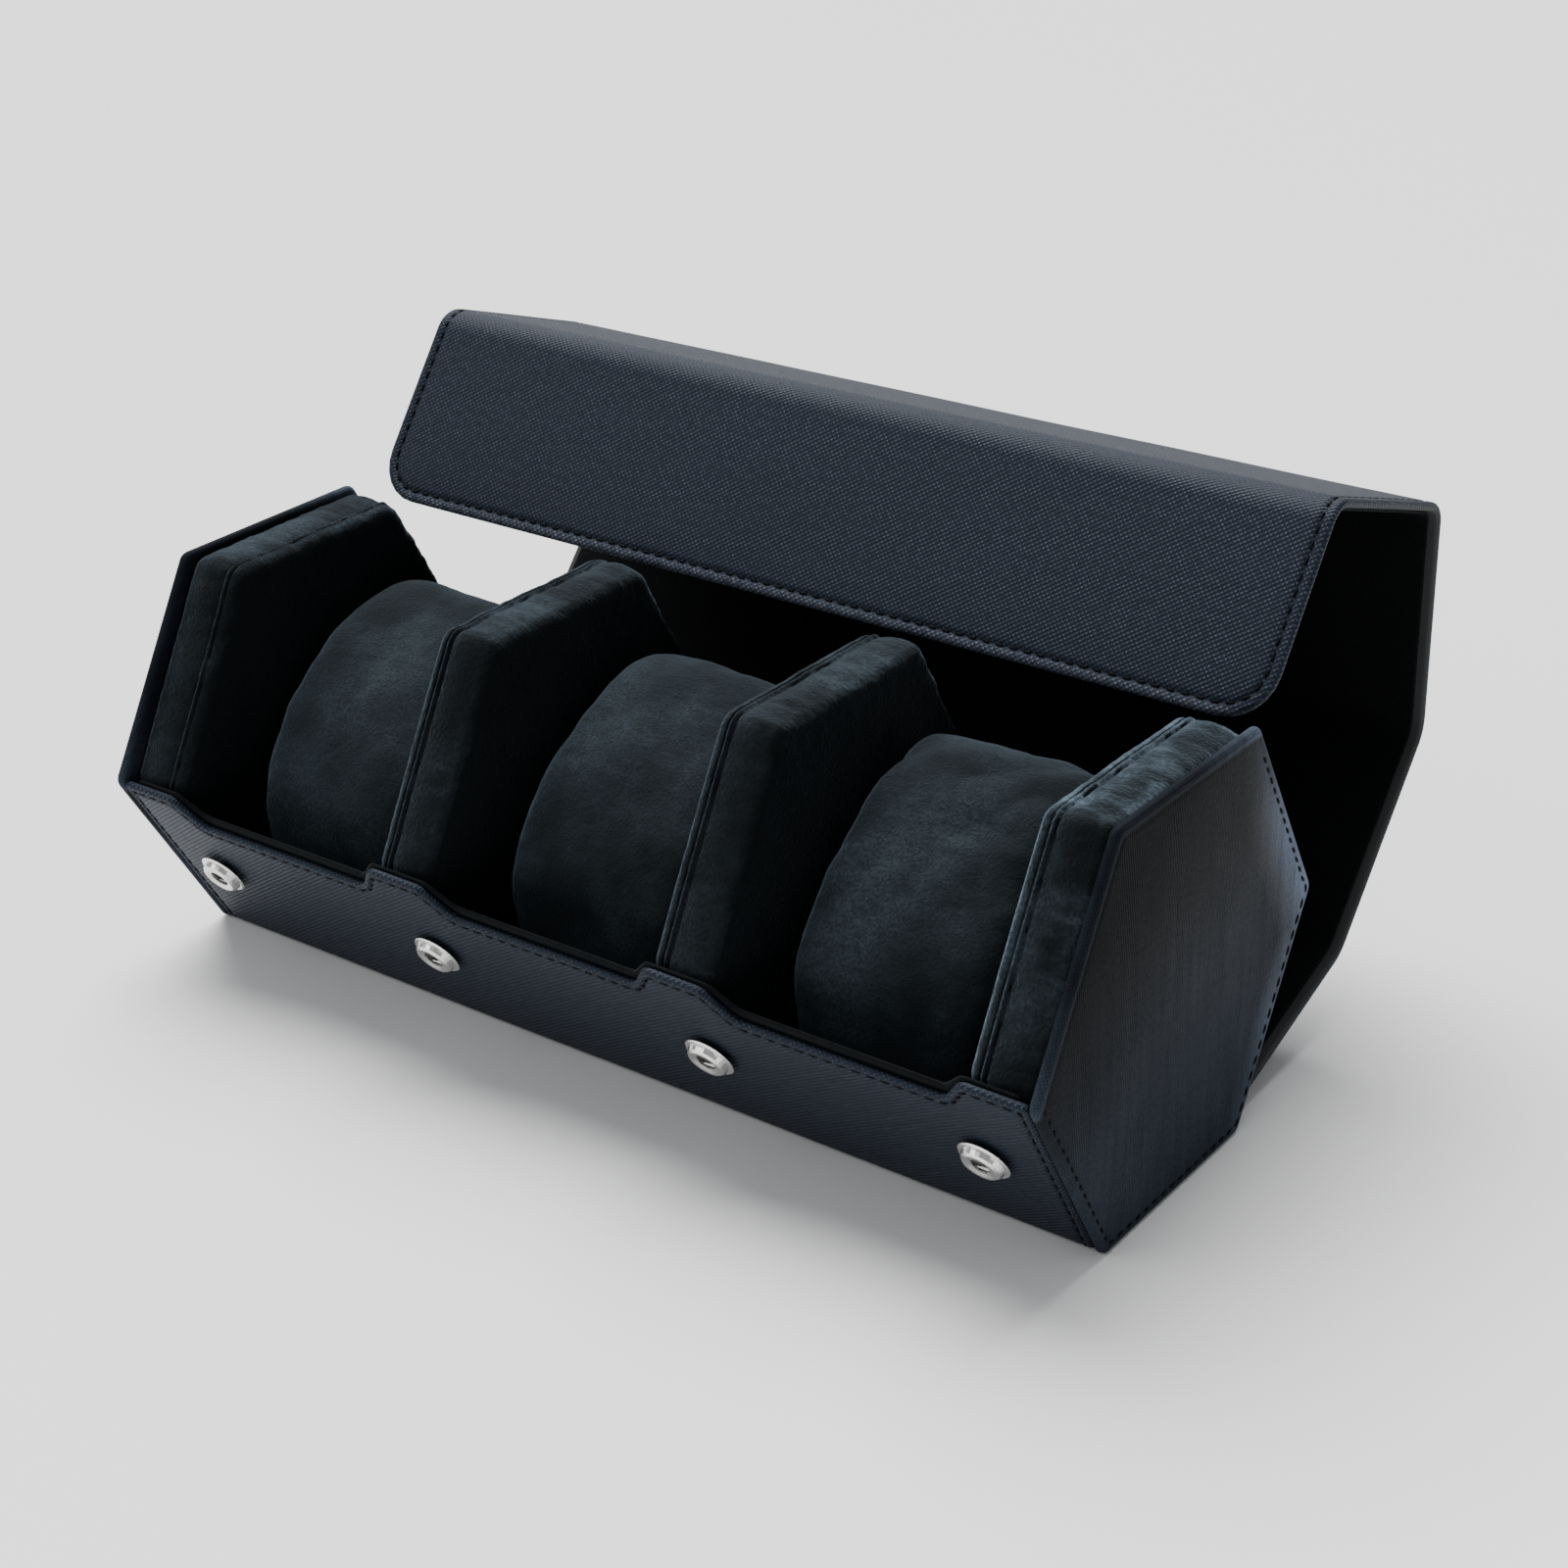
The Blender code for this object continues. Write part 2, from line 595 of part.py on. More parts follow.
def build_lid(parts, cutters):
    names = ("back_lower", "back_upper", "top", "front_upper", "flap")
    parent, location = None, (0, HEX_SIDE / 2, 0)
    for name, turn in zip(names, FOLD_TURNS):
        fold = frame_empty(f"{name}_fold", parts, parent, location, turn)
        if name == "flap":
            panel = lid_panel("lid_flap", parts, fold, FLAP_LENGTH, 0.0, FLAP_CORNER_RADIUS)
            lining = lid_lining("lining_flap", parts, fold, FLAP_LENGTH, 0.0, FLAP_CORNER_RADIUS)
            flap_studs(parts, cutters, fold)
            cut_with(lining, cutters)
            cut_with(panel, cutters)
            panel.modifiers.move(1, 0)
        else:
            lid_panel(f"lid_{name}", parts, fold, HEX_SIDE, FOLD_MITRE)
            lid_lining(f"lining_{name}", parts, fold, HEX_SIDE, FOLD_MITRE)
        parent, location = fold, (0, HEX_SIDE, 0)


def main():
    clear_scene()
    parts = new_collection("watch_roll")
    rivet_holes = new_collection("rivet_holes")
    stud_holes = new_collection("stud_holes")
    build_base(parts, rivet_holes)
    build_lid(parts, stud_holes)
    bpy.context.view_layer.update()


main()
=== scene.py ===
"""Dresses the open watch roll: stitched leather, plush dividers, velvet cushions and linings, and the stage.

The wrap is laid out flat first. A place on it is x along the roll, s along the wrap from the front panel's
top edge round to the flap's free edge, and a depth in from the leather's face. WrapSection folds it up.
"""
import json
import math

import bmesh
import bpy
from bpy.props import FloatProperty, FloatVectorProperty, IntProperty, PointerProperty
from mathutils import Matrix, Vector, noise
from mathutils.geometry import delaunay_2d_cdt


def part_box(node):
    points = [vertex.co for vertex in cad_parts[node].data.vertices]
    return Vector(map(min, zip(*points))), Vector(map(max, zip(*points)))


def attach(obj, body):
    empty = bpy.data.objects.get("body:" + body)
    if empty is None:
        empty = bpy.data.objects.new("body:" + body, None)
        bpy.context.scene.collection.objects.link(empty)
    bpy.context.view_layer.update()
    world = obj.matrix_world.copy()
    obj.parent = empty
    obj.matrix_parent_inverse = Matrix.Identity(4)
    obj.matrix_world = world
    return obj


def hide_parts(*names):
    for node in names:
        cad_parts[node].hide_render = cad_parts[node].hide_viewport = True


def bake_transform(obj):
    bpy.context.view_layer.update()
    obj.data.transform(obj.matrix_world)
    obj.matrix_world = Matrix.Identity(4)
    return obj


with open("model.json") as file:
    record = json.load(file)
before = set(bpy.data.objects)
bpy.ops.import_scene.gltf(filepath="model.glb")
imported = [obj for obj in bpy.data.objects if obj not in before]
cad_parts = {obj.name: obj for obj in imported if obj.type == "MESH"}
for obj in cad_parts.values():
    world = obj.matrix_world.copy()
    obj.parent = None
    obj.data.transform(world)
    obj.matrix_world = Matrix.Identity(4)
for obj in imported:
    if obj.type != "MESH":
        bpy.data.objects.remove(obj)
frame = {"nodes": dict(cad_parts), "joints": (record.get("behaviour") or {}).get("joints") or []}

bl_info = {
    "name": "Watch Roll Dressing",
    "version": (1, 0, 0),
    "blender": (4, 5, 0),
    "location": "View3D > Sidebar > Watch Roll",
    "description": "Leather, stitching, plush and velvet for an open three-watch roll",
    "category": "Object",
}

MM = 0.001
SEED = 7

# Lid bodies in their order round the wrap
LID_BODIES = ("lid_back_lower", "lid_back_upper", "lid_top", "lid_front_upper", "lid_flap")
SIDES = ("left", "right")
CUSHIONS = ("cushion_left", "cushion_middle", "cushion_right")
SLABS = ("left_end_pad", "left_divider", "right_divider", "right_end_pad")


# Sizes and colours that a user would change

class WatchRollSizes(bpy.types.PropertyGroup):
    leather_thickness: FloatProperty(
        name="Leather thickness", description="Board and leather of one panel",
        default=1.8 * MM, unit="LENGTH",
    )
    bead_width: FloatProperty(
        name="Bead width", description="From a leather edge to its row of stitches",
        default=2.4 * MM, unit="LENGTH",
    )
    groove_depth: FloatProperty(
        name="Groove depth", description="How deep the stitches pull the leather in",
        default=0.4 * MM, unit="LENGTH",
    )
    hatch_pitch: FloatProperty(
        name="Hatch pitch", description="Distance between the embossed diagonal lines",
        default=0.84 * MM, unit="LENGTH",
    )
    stitch_pitch: FloatProperty(
        name="Stitch pitch", description="Distance from one stitch to the next",
        default=3.1 * MM, unit="LENGTH",
    )
    stitch_length: FloatProperty(
        name="Stitch length", description="Length of thread that shows", default=2.1 * MM, unit="LENGTH",
    )
    thread_width: FloatProperty(
        name="Thread width", description="Width of the thread", default=0.62 * MM, unit="LENGTH",
    )
    recess_depth: FloatProperty(
        name="Recess depth", description="Dip of the front panel at a compartment",
        default=7.5 * MM, unit="LENGTH",
    )
    recess_slant: FloatProperty(
        name="Recess slant", description="Length of the slope at a dip's end",
        default=5.0 * MM, unit="LENGTH",
    )
    lip_height: FloatProperty(
        name="Lip height", description="Velvet showing above a dip's edge", default=1.8 * MM, unit="LENGTH",
    )
    flap_corner: FloatProperty(
        name="Flap corner", description="Radius of the flap's two corners", default=10.0 * MM, unit="LENGTH",
    )
    plush_edge: FloatProperty(
        name="Plush edge", description="Rounding of the plush slabs' edges", default=2.3 * MM, unit="LENGTH",
    )
    pile_height: FloatProperty(
        name="Pile height", description="How far the plush stands up on the slabs' tops",
        default=2.0 * MM, unit="LENGTH",
    )
    voxel: FloatProperty(
        name="Cushion voxel", description="Mesh size of the simulated cushions",
        default=2.2 * MM, unit="LENGTH",
    )
    pressure: FloatProperty(
        name="Cushion pressure", description="Stuffing pressure of the simulated cushions", default=4.0,
    )
    frames: IntProperty(name="Cushion frames", description="Simulated frames", default=20, min=1)


class WatchRollColours(bpy.types.PropertyGroup):
    leather: FloatVectorProperty(
        name="Leather", description="Dark ground of the leather", subtype="COLOR", size=4,
        default=(0.0048, 0.0075, 0.0145, 1.0),
    )
    leather_crest: FloatVectorProperty(
        name="Leather crests", description="Rubbed crests of the hatch", subtype="COLOR", size=4,
        default=(0.034, 0.044, 0.066, 1.0),
    )
    turned_edge: FloatVectorProperty(
        name="Turned edge", description="Bare edge of the lid beside its lining", subtype="COLOR", size=4,
        default=(0.04, 0.041, 0.04, 1.0),
    )
    end_ground: FloatVectorProperty(
        name="End panels", description="Ground of the ends' finer woven leather", subtype="COLOR", size=4,
        default=(0.0165, 0.0182, 0.021, 1.0),
    )
    end_crest: FloatVectorProperty(
        name="End panel crests", description="Crests of the ends' woven leather", subtype="COLOR", size=4,
        default=(0.034, 0.037, 0.043, 1.0),
    )
    plush: FloatVectorProperty(
        name="Plush", description="Plush seen along its pile", subtype="COLOR", size=4,
        default=(0.0016, 0.0028, 0.0034, 1.0),
    )
    plush_brushed: FloatVectorProperty(
        name="Brushed plush", description="Plush brushed against its pile", subtype="COLOR", size=4,
        default=(0.041, 0.057, 0.072, 1.0),
    )
    velvet: FloatVectorProperty(
        name="Velvet", description="Cushion velvet seen along its pile", subtype="COLOR", size=4,
        default=(0.003, 0.005, 0.0062, 1.0),
    )
    velvet_brushed: FloatVectorProperty(
        name="Brushed velvet", description="Cushion velvet brushed against its pile", subtype="COLOR", size=4,
        default=(0.027, 0.0375, 0.046, 1.0),
    )
    lining: FloatVectorProperty(
        name="Lining", description="Black velvet inside the wrap", subtype="COLOR", size=4,
        default=(0.0025, 0.003, 0.0035, 1.0),
    )
    thread: FloatVectorProperty(
        name="Thread", description="Stitching thread", subtype="COLOR", size=4,
        default=(0.0012, 0.0014, 0.0022, 1.0),
    )
    nickel: FloatVectorProperty(
        name="Nickel", description="Press snaps", subtype="COLOR", size=4,
        default=(0.78, 0.77, 0.75, 1.0),
    )
    floor: FloatVectorProperty(
        name="Floor", description="Pale studio floor", subtype="COLOR", size=4,
        default=(0.88, 0.88, 0.88, 1.0),
    )


def sizes():
    return bpy.context.scene.watch_roll_sizes


def colours():
    return bpy.context.scene.watch_roll_colours


def new_object(name, data):
    """An object of its own in the scene."""
    obj = bpy.data.objects.new(name, data)
    bpy.context.scene.collection.objects.link(obj)
    return obj


def evaluated_mesh(obj):
    """The object's mesh with its modifiers worked in."""
    return bpy.data.meshes.new_from_object(obj.evaluated_get(bpy.context.evaluated_depsgraph_get()))


# The wrap's section, folded up

# How far each corner's bend reaches from the fold, in mm, from the front's top edge to the flap's free edge
FOLD_REACHES = (0.0, 1.8, 3.0, 3.0, 3.5, 4.0, 5.0, 0.0)
FRONT_LEAN = math.radians(120)
LEATHER_WAVE = 0.14 * MM


def heading(angle):
    return Vector((math.cos(angle), math.sin(angle)))


def inward(angle):
    return Vector((-math.sin(angle), math.cos(angle)))


def flap_end(fold):
    """The flap's free edge in the section, found along the face direction that its solid has most of."""
    mesh = frame["nodes"]["lid_flap"].data
    sums = {}
    for face in mesh.polygons:
        key = (round(face.normal.y, 2), round(face.normal.z, 2))
        sums[key] = sums.get(key, Vector((0, 0))) + Vector((face.normal.y, face.normal.z)) * face.area
    normal = max(sums.values(), key=lambda v: v.length).normalized()
    along = Vector((-normal.y, normal.x))
    reaches = [(Vector((v.co.y, v.co.z)) - fold).dot(along) for v in mesh.vertices]
    longest = max(reaches, key=abs)
    return fold + along * longest


class WrapSection:
    """The wrap from the end: straight runs in (y, z) joined by arcs, which reach a way to either side."""

    def __init__(self, corners, reaches):
        self.corners = corners
        self.reaches = reaches
        self.angles = []
        self.stations = [0.0]
        for first, second in zip(corners, corners[1:]):
            run = second - first
            self.angles.append(math.atan2(run.y, run.x))
            self.stations.append(self.stations[-1] + run.length)
        for k in range(1, len(self.angles)):
            while self.angles[k] < self.angles[k - 1]:
                self.angles[k] += 2 * math.pi

    def point(self, s, depth):
        for k in range(1, len(self.corners) - 1):
            reach = self.reaches[k]
            past = s - self.stations[k]
            if abs(past) < reach:
                turn = self.angles[k] - self.angles[k - 1]
                radius = reach / math.tan(turn / 2)
                start = self.corners[k] - heading(self.angles[k - 1]) * reach
                centre = start + inward(self.angles[k - 1]) * radius
                angle = self.angles[k - 1] + turn * (past + reach) / (2 * reach)
                return centre - inward(angle) * (radius - depth)
        run = 0
        while run < len(self.angles) - 1 and s > self.stations[run + 1]:
            run += 1
        angle = self.angles[run]
        return self.corners[run] + heading(angle) * (s - self.stations[run]) + inward(angle) * depth

    def before(self, k):
        return self.stations[k] - self.reaches[k]

    def after(self, k):
        return self.stations[k] + self.reaches[k]


def make_wrap():
    folds = [Vector((j["pos_m"][1], j["pos_m"][2])) for j in frame["joints"]]
    rear = folds[0]
    side = 2 * rear.x
    front = Vector((-rear.x, 0.0))
    top = front + side * heading(FRONT_LEAN)
    corners = [top, front, *folds, flap_end(folds[-1])]
    return WrapSection(corners, [reach * MM for reach in FOLD_REACHES])


WRAP = make_wrap()
HEX_SIDE = WRAP.stations[1]
IN_RADIUS = HEX_SIDE * math.sqrt(3) / 2
FOLD_FRONT, FOLD_REAR = 1, 2
LID_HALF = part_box("lid_top")[1].x
WRAP_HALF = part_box("bottom_panel")[1].x
CASE_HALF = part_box("right_end_panel")[1].x
LINING_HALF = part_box("lining_top")[1].x
CAD_LINING_INNER = 2.6 * MM


def on_wrap(x, s, depth):
    """A place on the wrap, with the slight waves that leather has over its board."""
    wave = LEATHER_WAVE * (1 + noise.noise(Vector((x * 22, s * 30, 3.1))))
    y, z = WRAP.point(s, depth + wave)
    return Vector((x, y, z))


# Outlines and sheets

SPACING = 5 * MM
LEAST_RADIUS = 0.12 * MM
# An edge between faces that turn by more than this, in degrees, is shaded sharp
SHARP_ANGLE = 40.0
# Across a seam: the distance inwards from the stitches in mm, and the depth there as a share of the groove's
GROOVE_SECTION = ((1.3, 0.0), (0.7, 0.12), (0.3, 0.7), (0.0, 1.0), (-0.3, 0.6), (-0.7, 0.05))
# A point that fills a sheet keeps this share of the spacing from the outline
CLEAR_SHARE = 0.55
# Share of the greatest depth past which a sheet is turned over the board's inner edge
TURNED_SHARE = 0.6


def spread(start, end, spacing):
    """Points between two ends, the ends left out."""
    count = max(1, round(abs(end - start) / spacing))
    return [start + (end - start) * i / count for i in range(1, count)]


def inset_sides(corners, inset, fixed_last):
    """Move each side of an anticlockwise polygon inwards, apart from the closing one where it is fixed."""
    count = len(corners)
    lines = []
    for i in range(count):
        a = Vector(corners[i][:2])
        b = Vector(corners[(i + 1) % count][:2])
        run = (b - a).normalized()
        shift = 0.0 if fixed_last and i == count - 1 else inset
        lines.append((a + Vector((-run.y, run.x)) * shift, run))
    moved = []
    for i in range(count):
        p, d = lines[i - 1]
        q, e = lines[i]
        cross = d.x * e.y - d.y * e.x
        t = ((q.x - p.x) * e.y - (q.y - p.y) * e.x) / cross
        moved.append((p + d * t, corners[i][2], cross > 0))
    return moved


def ring(corners, inset, fixed_last=False, steps=6, spacing=SPACING):
    """The outline moved inwards, its corners (x, y, radius) rounded; it has as many points at any inset."""
    moved = inset_sides(corners, inset, fixed_last)
    count = len(moved)
    arcs = []
    for i in range(count):
        here, radius, convex = moved[i]
        if not radius:
            arcs.append([here])
            continue
        radius = max(radius - inset, LEAST_RADIUS) if convex else radius + inset
        before = (moved[i - 1][0] - here).normalized()
        after = (moved[(i + 1) % count][0] - here).normalized()
        half = before.angle(after) / 2
        centre = here + (before + after).normalized() * radius / math.sin(half)
        start = here + before * radius / math.tan(half) - centre
        sweep = (math.pi - 2 * half) * (1 if convex else -1)
        arcs.append([centre + Matrix.Rotation(sweep * k / steps, 2) @ start for k in range(steps + 1)])
    points = []
    for i in range(count):
        points += arcs[i]
        if fixed_last and i == count - 1:
            break
        a, b = Vector(corners[i][:2]), Vector(corners[(i + 1) % count][:2])
        parts = max(1, round((b - a).length / spacing))
        first, last = arcs[i][-1], arcs[(i + 1) % count][0]
        points += [first.lerp(last, k / parts) for k in range(1, parts)]
    return points


def inside(point, outline):
    """Whether a point lies inside an outline, by the sides that a line from it crosses."""
    odd = False
    for a, b in zip(outline, outline[1:] + outline[:1]):
        if (a.y > point.y) != (b.y > point.y):
            if point.x < a.x + (point.y - a.y) * (b.x - a.x) / (b.y - a.y):
                odd = not odd
    return odd


def clear_of(point, outline, gap):
    """Whether a point is at least the gap away from every side of an outline."""
    for a, b in zip(outline, outline[1:] + outline[:1]):
        run = b - a
        t = min(1.0, max(0.0, (point - a).dot(run) / run.length_squared))
        if (a + run * t - point).length < gap:
            return False
    return True


class SheetBuilder:
    """Builds a closed mesh from rings in a flat plan, and keeps each vertex's place in it for the UVs."""

    def __init__(self, place):
        self.bm = bmesh.new()
        self.place = place
        self.plan = {}
        self.depths = {}

    def vert(self, point, depth, flat=None):
        made = self.bm.verts.new(self.place(point[0], point[1], depth))
        self.plan[made] = tuple(flat if flat is not None else point)
        self.depths[made] = depth
        return made

    def fill(self, verts, points, depth, spacing):
        """Fill an outline with an even mesh."""
        xs = [p[0] for p in points]
        ys = [p[1] for p in points]
        inner = []
        for x in [min(xs)] + spread(min(xs), max(xs), spacing):
            for y in [min(ys)] + spread(min(ys), max(ys), spacing):
                spot = Vector((x, y))
                if inside(spot, points) and clear_of(spot, points, spacing * CLEAR_SHARE):
                    inner.append(spot)
        count = len(points)
        loop = [(i, (i + 1) % count) for i in range(count)]
        found = delaunay_2d_cdt([Vector(p) for p in points] + inner, loop, [], 1, 1e-9)
        known = []
        for co, origins in zip(found[0], found[3]):
            old = [o for o in origins if o < count]
            known.append(verts[old[0]] if old else self.vert(co, depth))
        for face in found[2]:
            self.bm.faces.new([known[i] for i in face])

    def bridge(self, first, second, closed):
        pairs = list(zip(first, first[1:], second, second[1:]))
        if closed:
            pairs.append((first[-1], first[0], second[-1], second[0]))
        for a, b, c, d in pairs:
            self.bm.faces.new((a, b, d, c))

    def finish(self, name, smooth=SHARP_ANGLE):
        layer = self.bm.loops.layers.uv.new("flat_pattern")
        bmesh.ops.recalc_face_normals(self.bm, faces=self.bm.faces)
        back = max(self.depths.values()) * TURNED_SHARE
        for face in self.bm.faces:
            face.material_index = int(min(self.depths[vert] for vert in face.verts) > back)
            for corner in face.loops:
                corner[layer].uv = self.plan[corner.vert]
        mesh = bpy.data.meshes.new(name)
        self.bm.to_mesh(mesh)
        self.bm.free()
        mesh.shade_smooth()
        mesh.set_sharp_from_angle(angle=math.radians(smooth))
        return new_object(name, mesh)


def edge_profile(thickness, bead, groove):
    """(inset, depth, inset laid flat) from inside the stitch groove, over the rolled edge, to the back."""
    half = thickness / 2
    points = [(bead + across * MM, groove * share) for across, share in GROOVE_SECTION]
    points.append(((bead + half) / 2 - 0.3 * MM, 0.0))
    for step in range(9):
        angle = math.pi * step / 8
        points.append((half - half * math.sin(angle), half - half * math.cos(angle)))
    points.append((bead + 0.5 * MM, thickness))
    laid = []
    flat = points[0][0]
    for i, (inset, depth) in enumerate(points):
        if i:
            flat -= math.hypot(inset - points[i - 1][0], depth - points[i - 1][1])
        laid.append((inset, depth, flat))
    return laid


def outlined_sheet(
    name, corners, profile, place, open_side=False, spacing=SPACING, smooth=SHARP_ANGLE, filling=None,
):
    """A sheet of any outline with a rolled edge; an open side is cut straight, to meet the next piece."""
    sheet = SheetBuilder(place)
    plans = [ring(corners, inset, open_side, spacing=spacing) for inset, depth, flat in profile]
    rings = []
    for (inset, depth, flat), plan in zip(profile, plans):
        laid = ring(corners, flat, open_side, spacing=spacing)
        rings.append([sheet.vert(p, depth, q) for p, q in zip(plan, laid)])
    for first, second in zip(rings, rings[1:]):
        sheet.bridge(first, second, not open_side)
    closings = []
    for end in (0, -1):
        plan, depth = plans[end], profile[end][1]
        extra = []
        if open_side:
            xs = spread(plan[-1].x, plan[0].x, spacing)
            extra = [Vector((x, plan[0].y)) for x in xs]
        made = [sheet.vert(p, depth) for p in extra]
        closings.append(made)
        sheet.fill(rings[end] + made, plan + extra, depth, filling or spacing)
    if open_side:
        left = [r[-1] for r in rings]
        right = [r[0] for r in rings]
        cap = closings[0][::-1] + left + closings[1] + right[::-1]
        sheet.bm.faces.new(cap)
    return sheet.finish(name, smooth)


def swept_sheet(name, half, profile, stations, place, spacing=SPACING):
    """A strip of the wrap between two stations, with a rolled edge at both ends of the roll."""
    sheet = SheetBuilder(place)
    inner, depth, flat = profile[0]
    back, thickness, back_flat = profile[-1]
    outer = [(-half + i, d, -half + f) for i, d, f in profile]
    face = [(x, depth, x) for x in spread(-half + inner, half - inner, spacing)]
    rear = [(x, thickness, x) for x in spread(-half + back, half - back, spacing)]
    mirrored = [(-x, d, -u) for x, d, u in outer]
    section = outer + rear + mirrored[::-1] + face[::-1]
    rows = [[sheet.vert((x, s), d, (u, s)) for x, d, u in section] for s in stations]
    for first, second in zip(rows, rows[1:]):
        sheet.bridge(first, second, True)
    sheet.bm.faces.new(rows[0])
    sheet.bm.faces.new(rows[-1][::-1])
    return sheet.finish(name)


def stations_between(start, end, spacing=SPACING):
    """Stations along the wrap, with both ends."""
    return [start] + spread(start, end, spacing) + [end]


# Node trees

def fill_inputs(tree, node, inputs):
    """Fill a node's inputs, by name or number, with plain values or with other nodes' outputs."""
    for key, value in inputs.items():
        if isinstance(value, bpy.types.NodeSocket):
            tree.links.new(value, node.inputs[key])
        else:
            node.inputs[key].default_value = value


def add(tree, kind, inputs=None, **settings):
    node = tree.nodes.new(kind)
    for key, value in settings.items():
        setattr(node, key, value)
    fill_inputs(tree, node, inputs or {})
    return node


def calculate(tree, operation, *values):
    return add(tree, "ShaderNodeMath", dict(enumerate(values)), operation=operation).outputs[0]


def product(tree, *values):
    """All the values multiplied together."""
    total = values[0]
    for value in values[1:]:
        total = calculate(tree, "MULTIPLY", total, value)
    return total


def noise_value(tree, vector, scale, detail=3.0, roughness=0.55):
    inputs = {"Vector": vector, "Scale": scale, "Detail": detail, "Roughness": roughness}
    return add(tree, "ShaderNodeTexNoise", inputs).outputs["Fac"]


def remap(tree, value, low, high, to_low=0.0, to_high=1.0):
    inputs = {"Value": value, "From Min": low, "From Max": high, "To Min": to_low, "To Max": to_high}
    return add(tree, "ShaderNodeMapRange", inputs, clamp=True).outputs["Result"]


def mix_colour(tree, factor, dark, light):
    return add(tree, "ShaderNodeMix", {"Factor": factor, 6: dark, 7: light}, data_type="RGBA").outputs[2]


def scaled_colour(tree, colour, factor):
    """A colour made lighter or darker by a factor."""
    return add(tree, "ShaderNodeVectorMath", {0: colour, "Scale": factor}, operation="SCALE").outputs[0]


def tinted_colour(tree, colour, tint):
    """A colour multiplied by another, part by part."""
    return add(tree, "ShaderNodeVectorMath", {0: colour, 1: tint}, operation="MULTIPLY").outputs[0]


def add_bump(tree, height, strength, distance, normal=None):
    inputs = {"Height": height, "Strength": strength, "Distance": distance}
    if normal is not None:
        inputs["Normal"] = normal
    return add(tree, "ShaderNodeBump", inputs).outputs["Normal"]


def mapped(tree, source, angle=0.0, scale=(1, 1, 1)):
    """Texture coordinates turned by some degrees and stretched."""
    place = add(tree, "ShaderNodeTexCoord").outputs[source]
    inputs = {"Vector": place, "Rotation": (0, 0, math.radians(angle)), "Scale": scale}
    return add(tree, "ShaderNodeMapping", inputs).outputs["Vector"]


def parts_of(tree, vector):
    """The X, Y and Z of a vector."""
    return add(tree, "ShaderNodeSeparateXYZ", {0: vector}).outputs


# Finishes

HATCH_ANGLES = (-53.0, 42.0)
WEAVE_ANGLES = (2.0, 91.0)
HATCH_RELIEF = 0.16 * MM
PORE_RELIEF = 0.05 * MM
BLOTCH_RELIEF = 0.5 * MM
LEATHER_SHINE = (0.74, 0.86, 1.0, 1.0)
# A painted highlight makes the flap's rolled edge paler by this much, between these two distances from its end
PAINTED_EDGE_HIGHLIGHT = (5.4, 4.3, 3.3, 1.0)
EDGE_HIGHLIGHT_FROM, EDGE_HIGHLIGHT_TO = 1.9 * MM, 1.3 * MM
STROKE_RELIEF = 0.5 * MM
FUZZ_RELIEF = 0.35 * MM
PILE_SHEEN = (0.40, 0.55, 0.68, 1.0)
THREAD_TWIST = 0.35 * MM
WHITE = (1.0, 1.0, 1.0, 1.0)

FINISHES = {}


def new_material(name):
    material = bpy.data.materials.new(name)
    material.use_nodes = True
    return material, material.node_tree, material.node_tree.nodes["Principled BSDF"]


def shade(colour, factor):
    """A plain colour made lighter or darker, with its alpha kept at one."""
    return tuple(part * factor for part in colour[:3]) + (1.0,)


def embossed_lines(tree, source, angle, pitch, wander):
    """Soft parallel ridges, as a height from 0 to 1."""
    inputs = {
        "Vector": mapped(tree, source, angle), "Scale": math.pi / (10 * pitch), "Distortion": wander,
        "Detail": 1.0, "Detail Scale": 0.6,
    }
    wave = add(tree, "ShaderNodeTexWave", inputs, wave_type="BANDS", bands_direction="X", wave_profile="SIN")
    return wave.outputs["Fac"]


def leather_material(name, angles, pitch, ground, crest, strength, rough, shine):
    """Embossed leather: ridges one way, notched by ridges the other way, with some crests rubbed lighter."""
    material, tree, shader = new_material(name)
    first, second = (embossed_lines(tree, "UV", angle, pitch, 0.8) for angle in angles)
    flat = mapped(tree, "UV")
    blotches = noise_value(tree, flat, 60.0, 4.0)
    cells = noise_value(tree, flat, 0.6 / pitch, 2.0)
    pores = noise_value(tree, flat, 2600.0, 2.0)
    uneven = product(tree, first, second, remap(tree, cells, 0.36, 0.62, 0.25, 1.0))
    height = calculate(tree, "ADD", product(tree, first, 0.45), uneven)
    rubbed = product(tree, remap(tree, uneven, 0.12, 0.85), remap(tree, blotches, 0.3, 0.7, 0.7, 1.0))
    normal = add_bump(tree, height, strength, HATCH_RELIEF)
    normal = add_bump(tree, pores, 0.12, PORE_RELIEF, normal)
    normal = add_bump(tree, blotches, 0.3, BLOTCH_RELIEF, normal)
    fill_inputs(tree, shader, {
        "Base Color": mix_colour(tree, rubbed, ground, crest),
        "Roughness": remap(tree, height, 0.1, 1.1, *rough),
        "Specular IOR Level": shine,
        "Specular Tint": LEATHER_SHINE,
        "Normal": normal,
    })
    return material


def wrap_leather_material(name, edge, **leather):
    """The wrap's leather, with a painted highlight that makes the flap's rolled edge paler."""
    material = leather_material(name, **leather)
    tree = material.node_tree
    colour = tree.nodes["Principled BSDF"].inputs["Base Color"]
    flat = mapped(tree, "UV")
    # Painted highlight, speckled, along the flap's rolled edge
    roll = remap(tree, parts_of(tree, flat)["Y"], edge - EDGE_HIGHLIGHT_FROM, edge - EDGE_HIGHLIGHT_TO)
    painted_edge_highlight = product(tree, roll, remap(tree, noise_value(tree, flat, 700.0), 0.35, 0.65, 0.3, 1.0))
    pale = mix_colour(tree, painted_edge_highlight, WHITE, PAINTED_EDGE_HIGHLIGHT)
    tree.links.new(tinted_colour(tree, colour.links[0].from_socket, pale), colour)
    return material


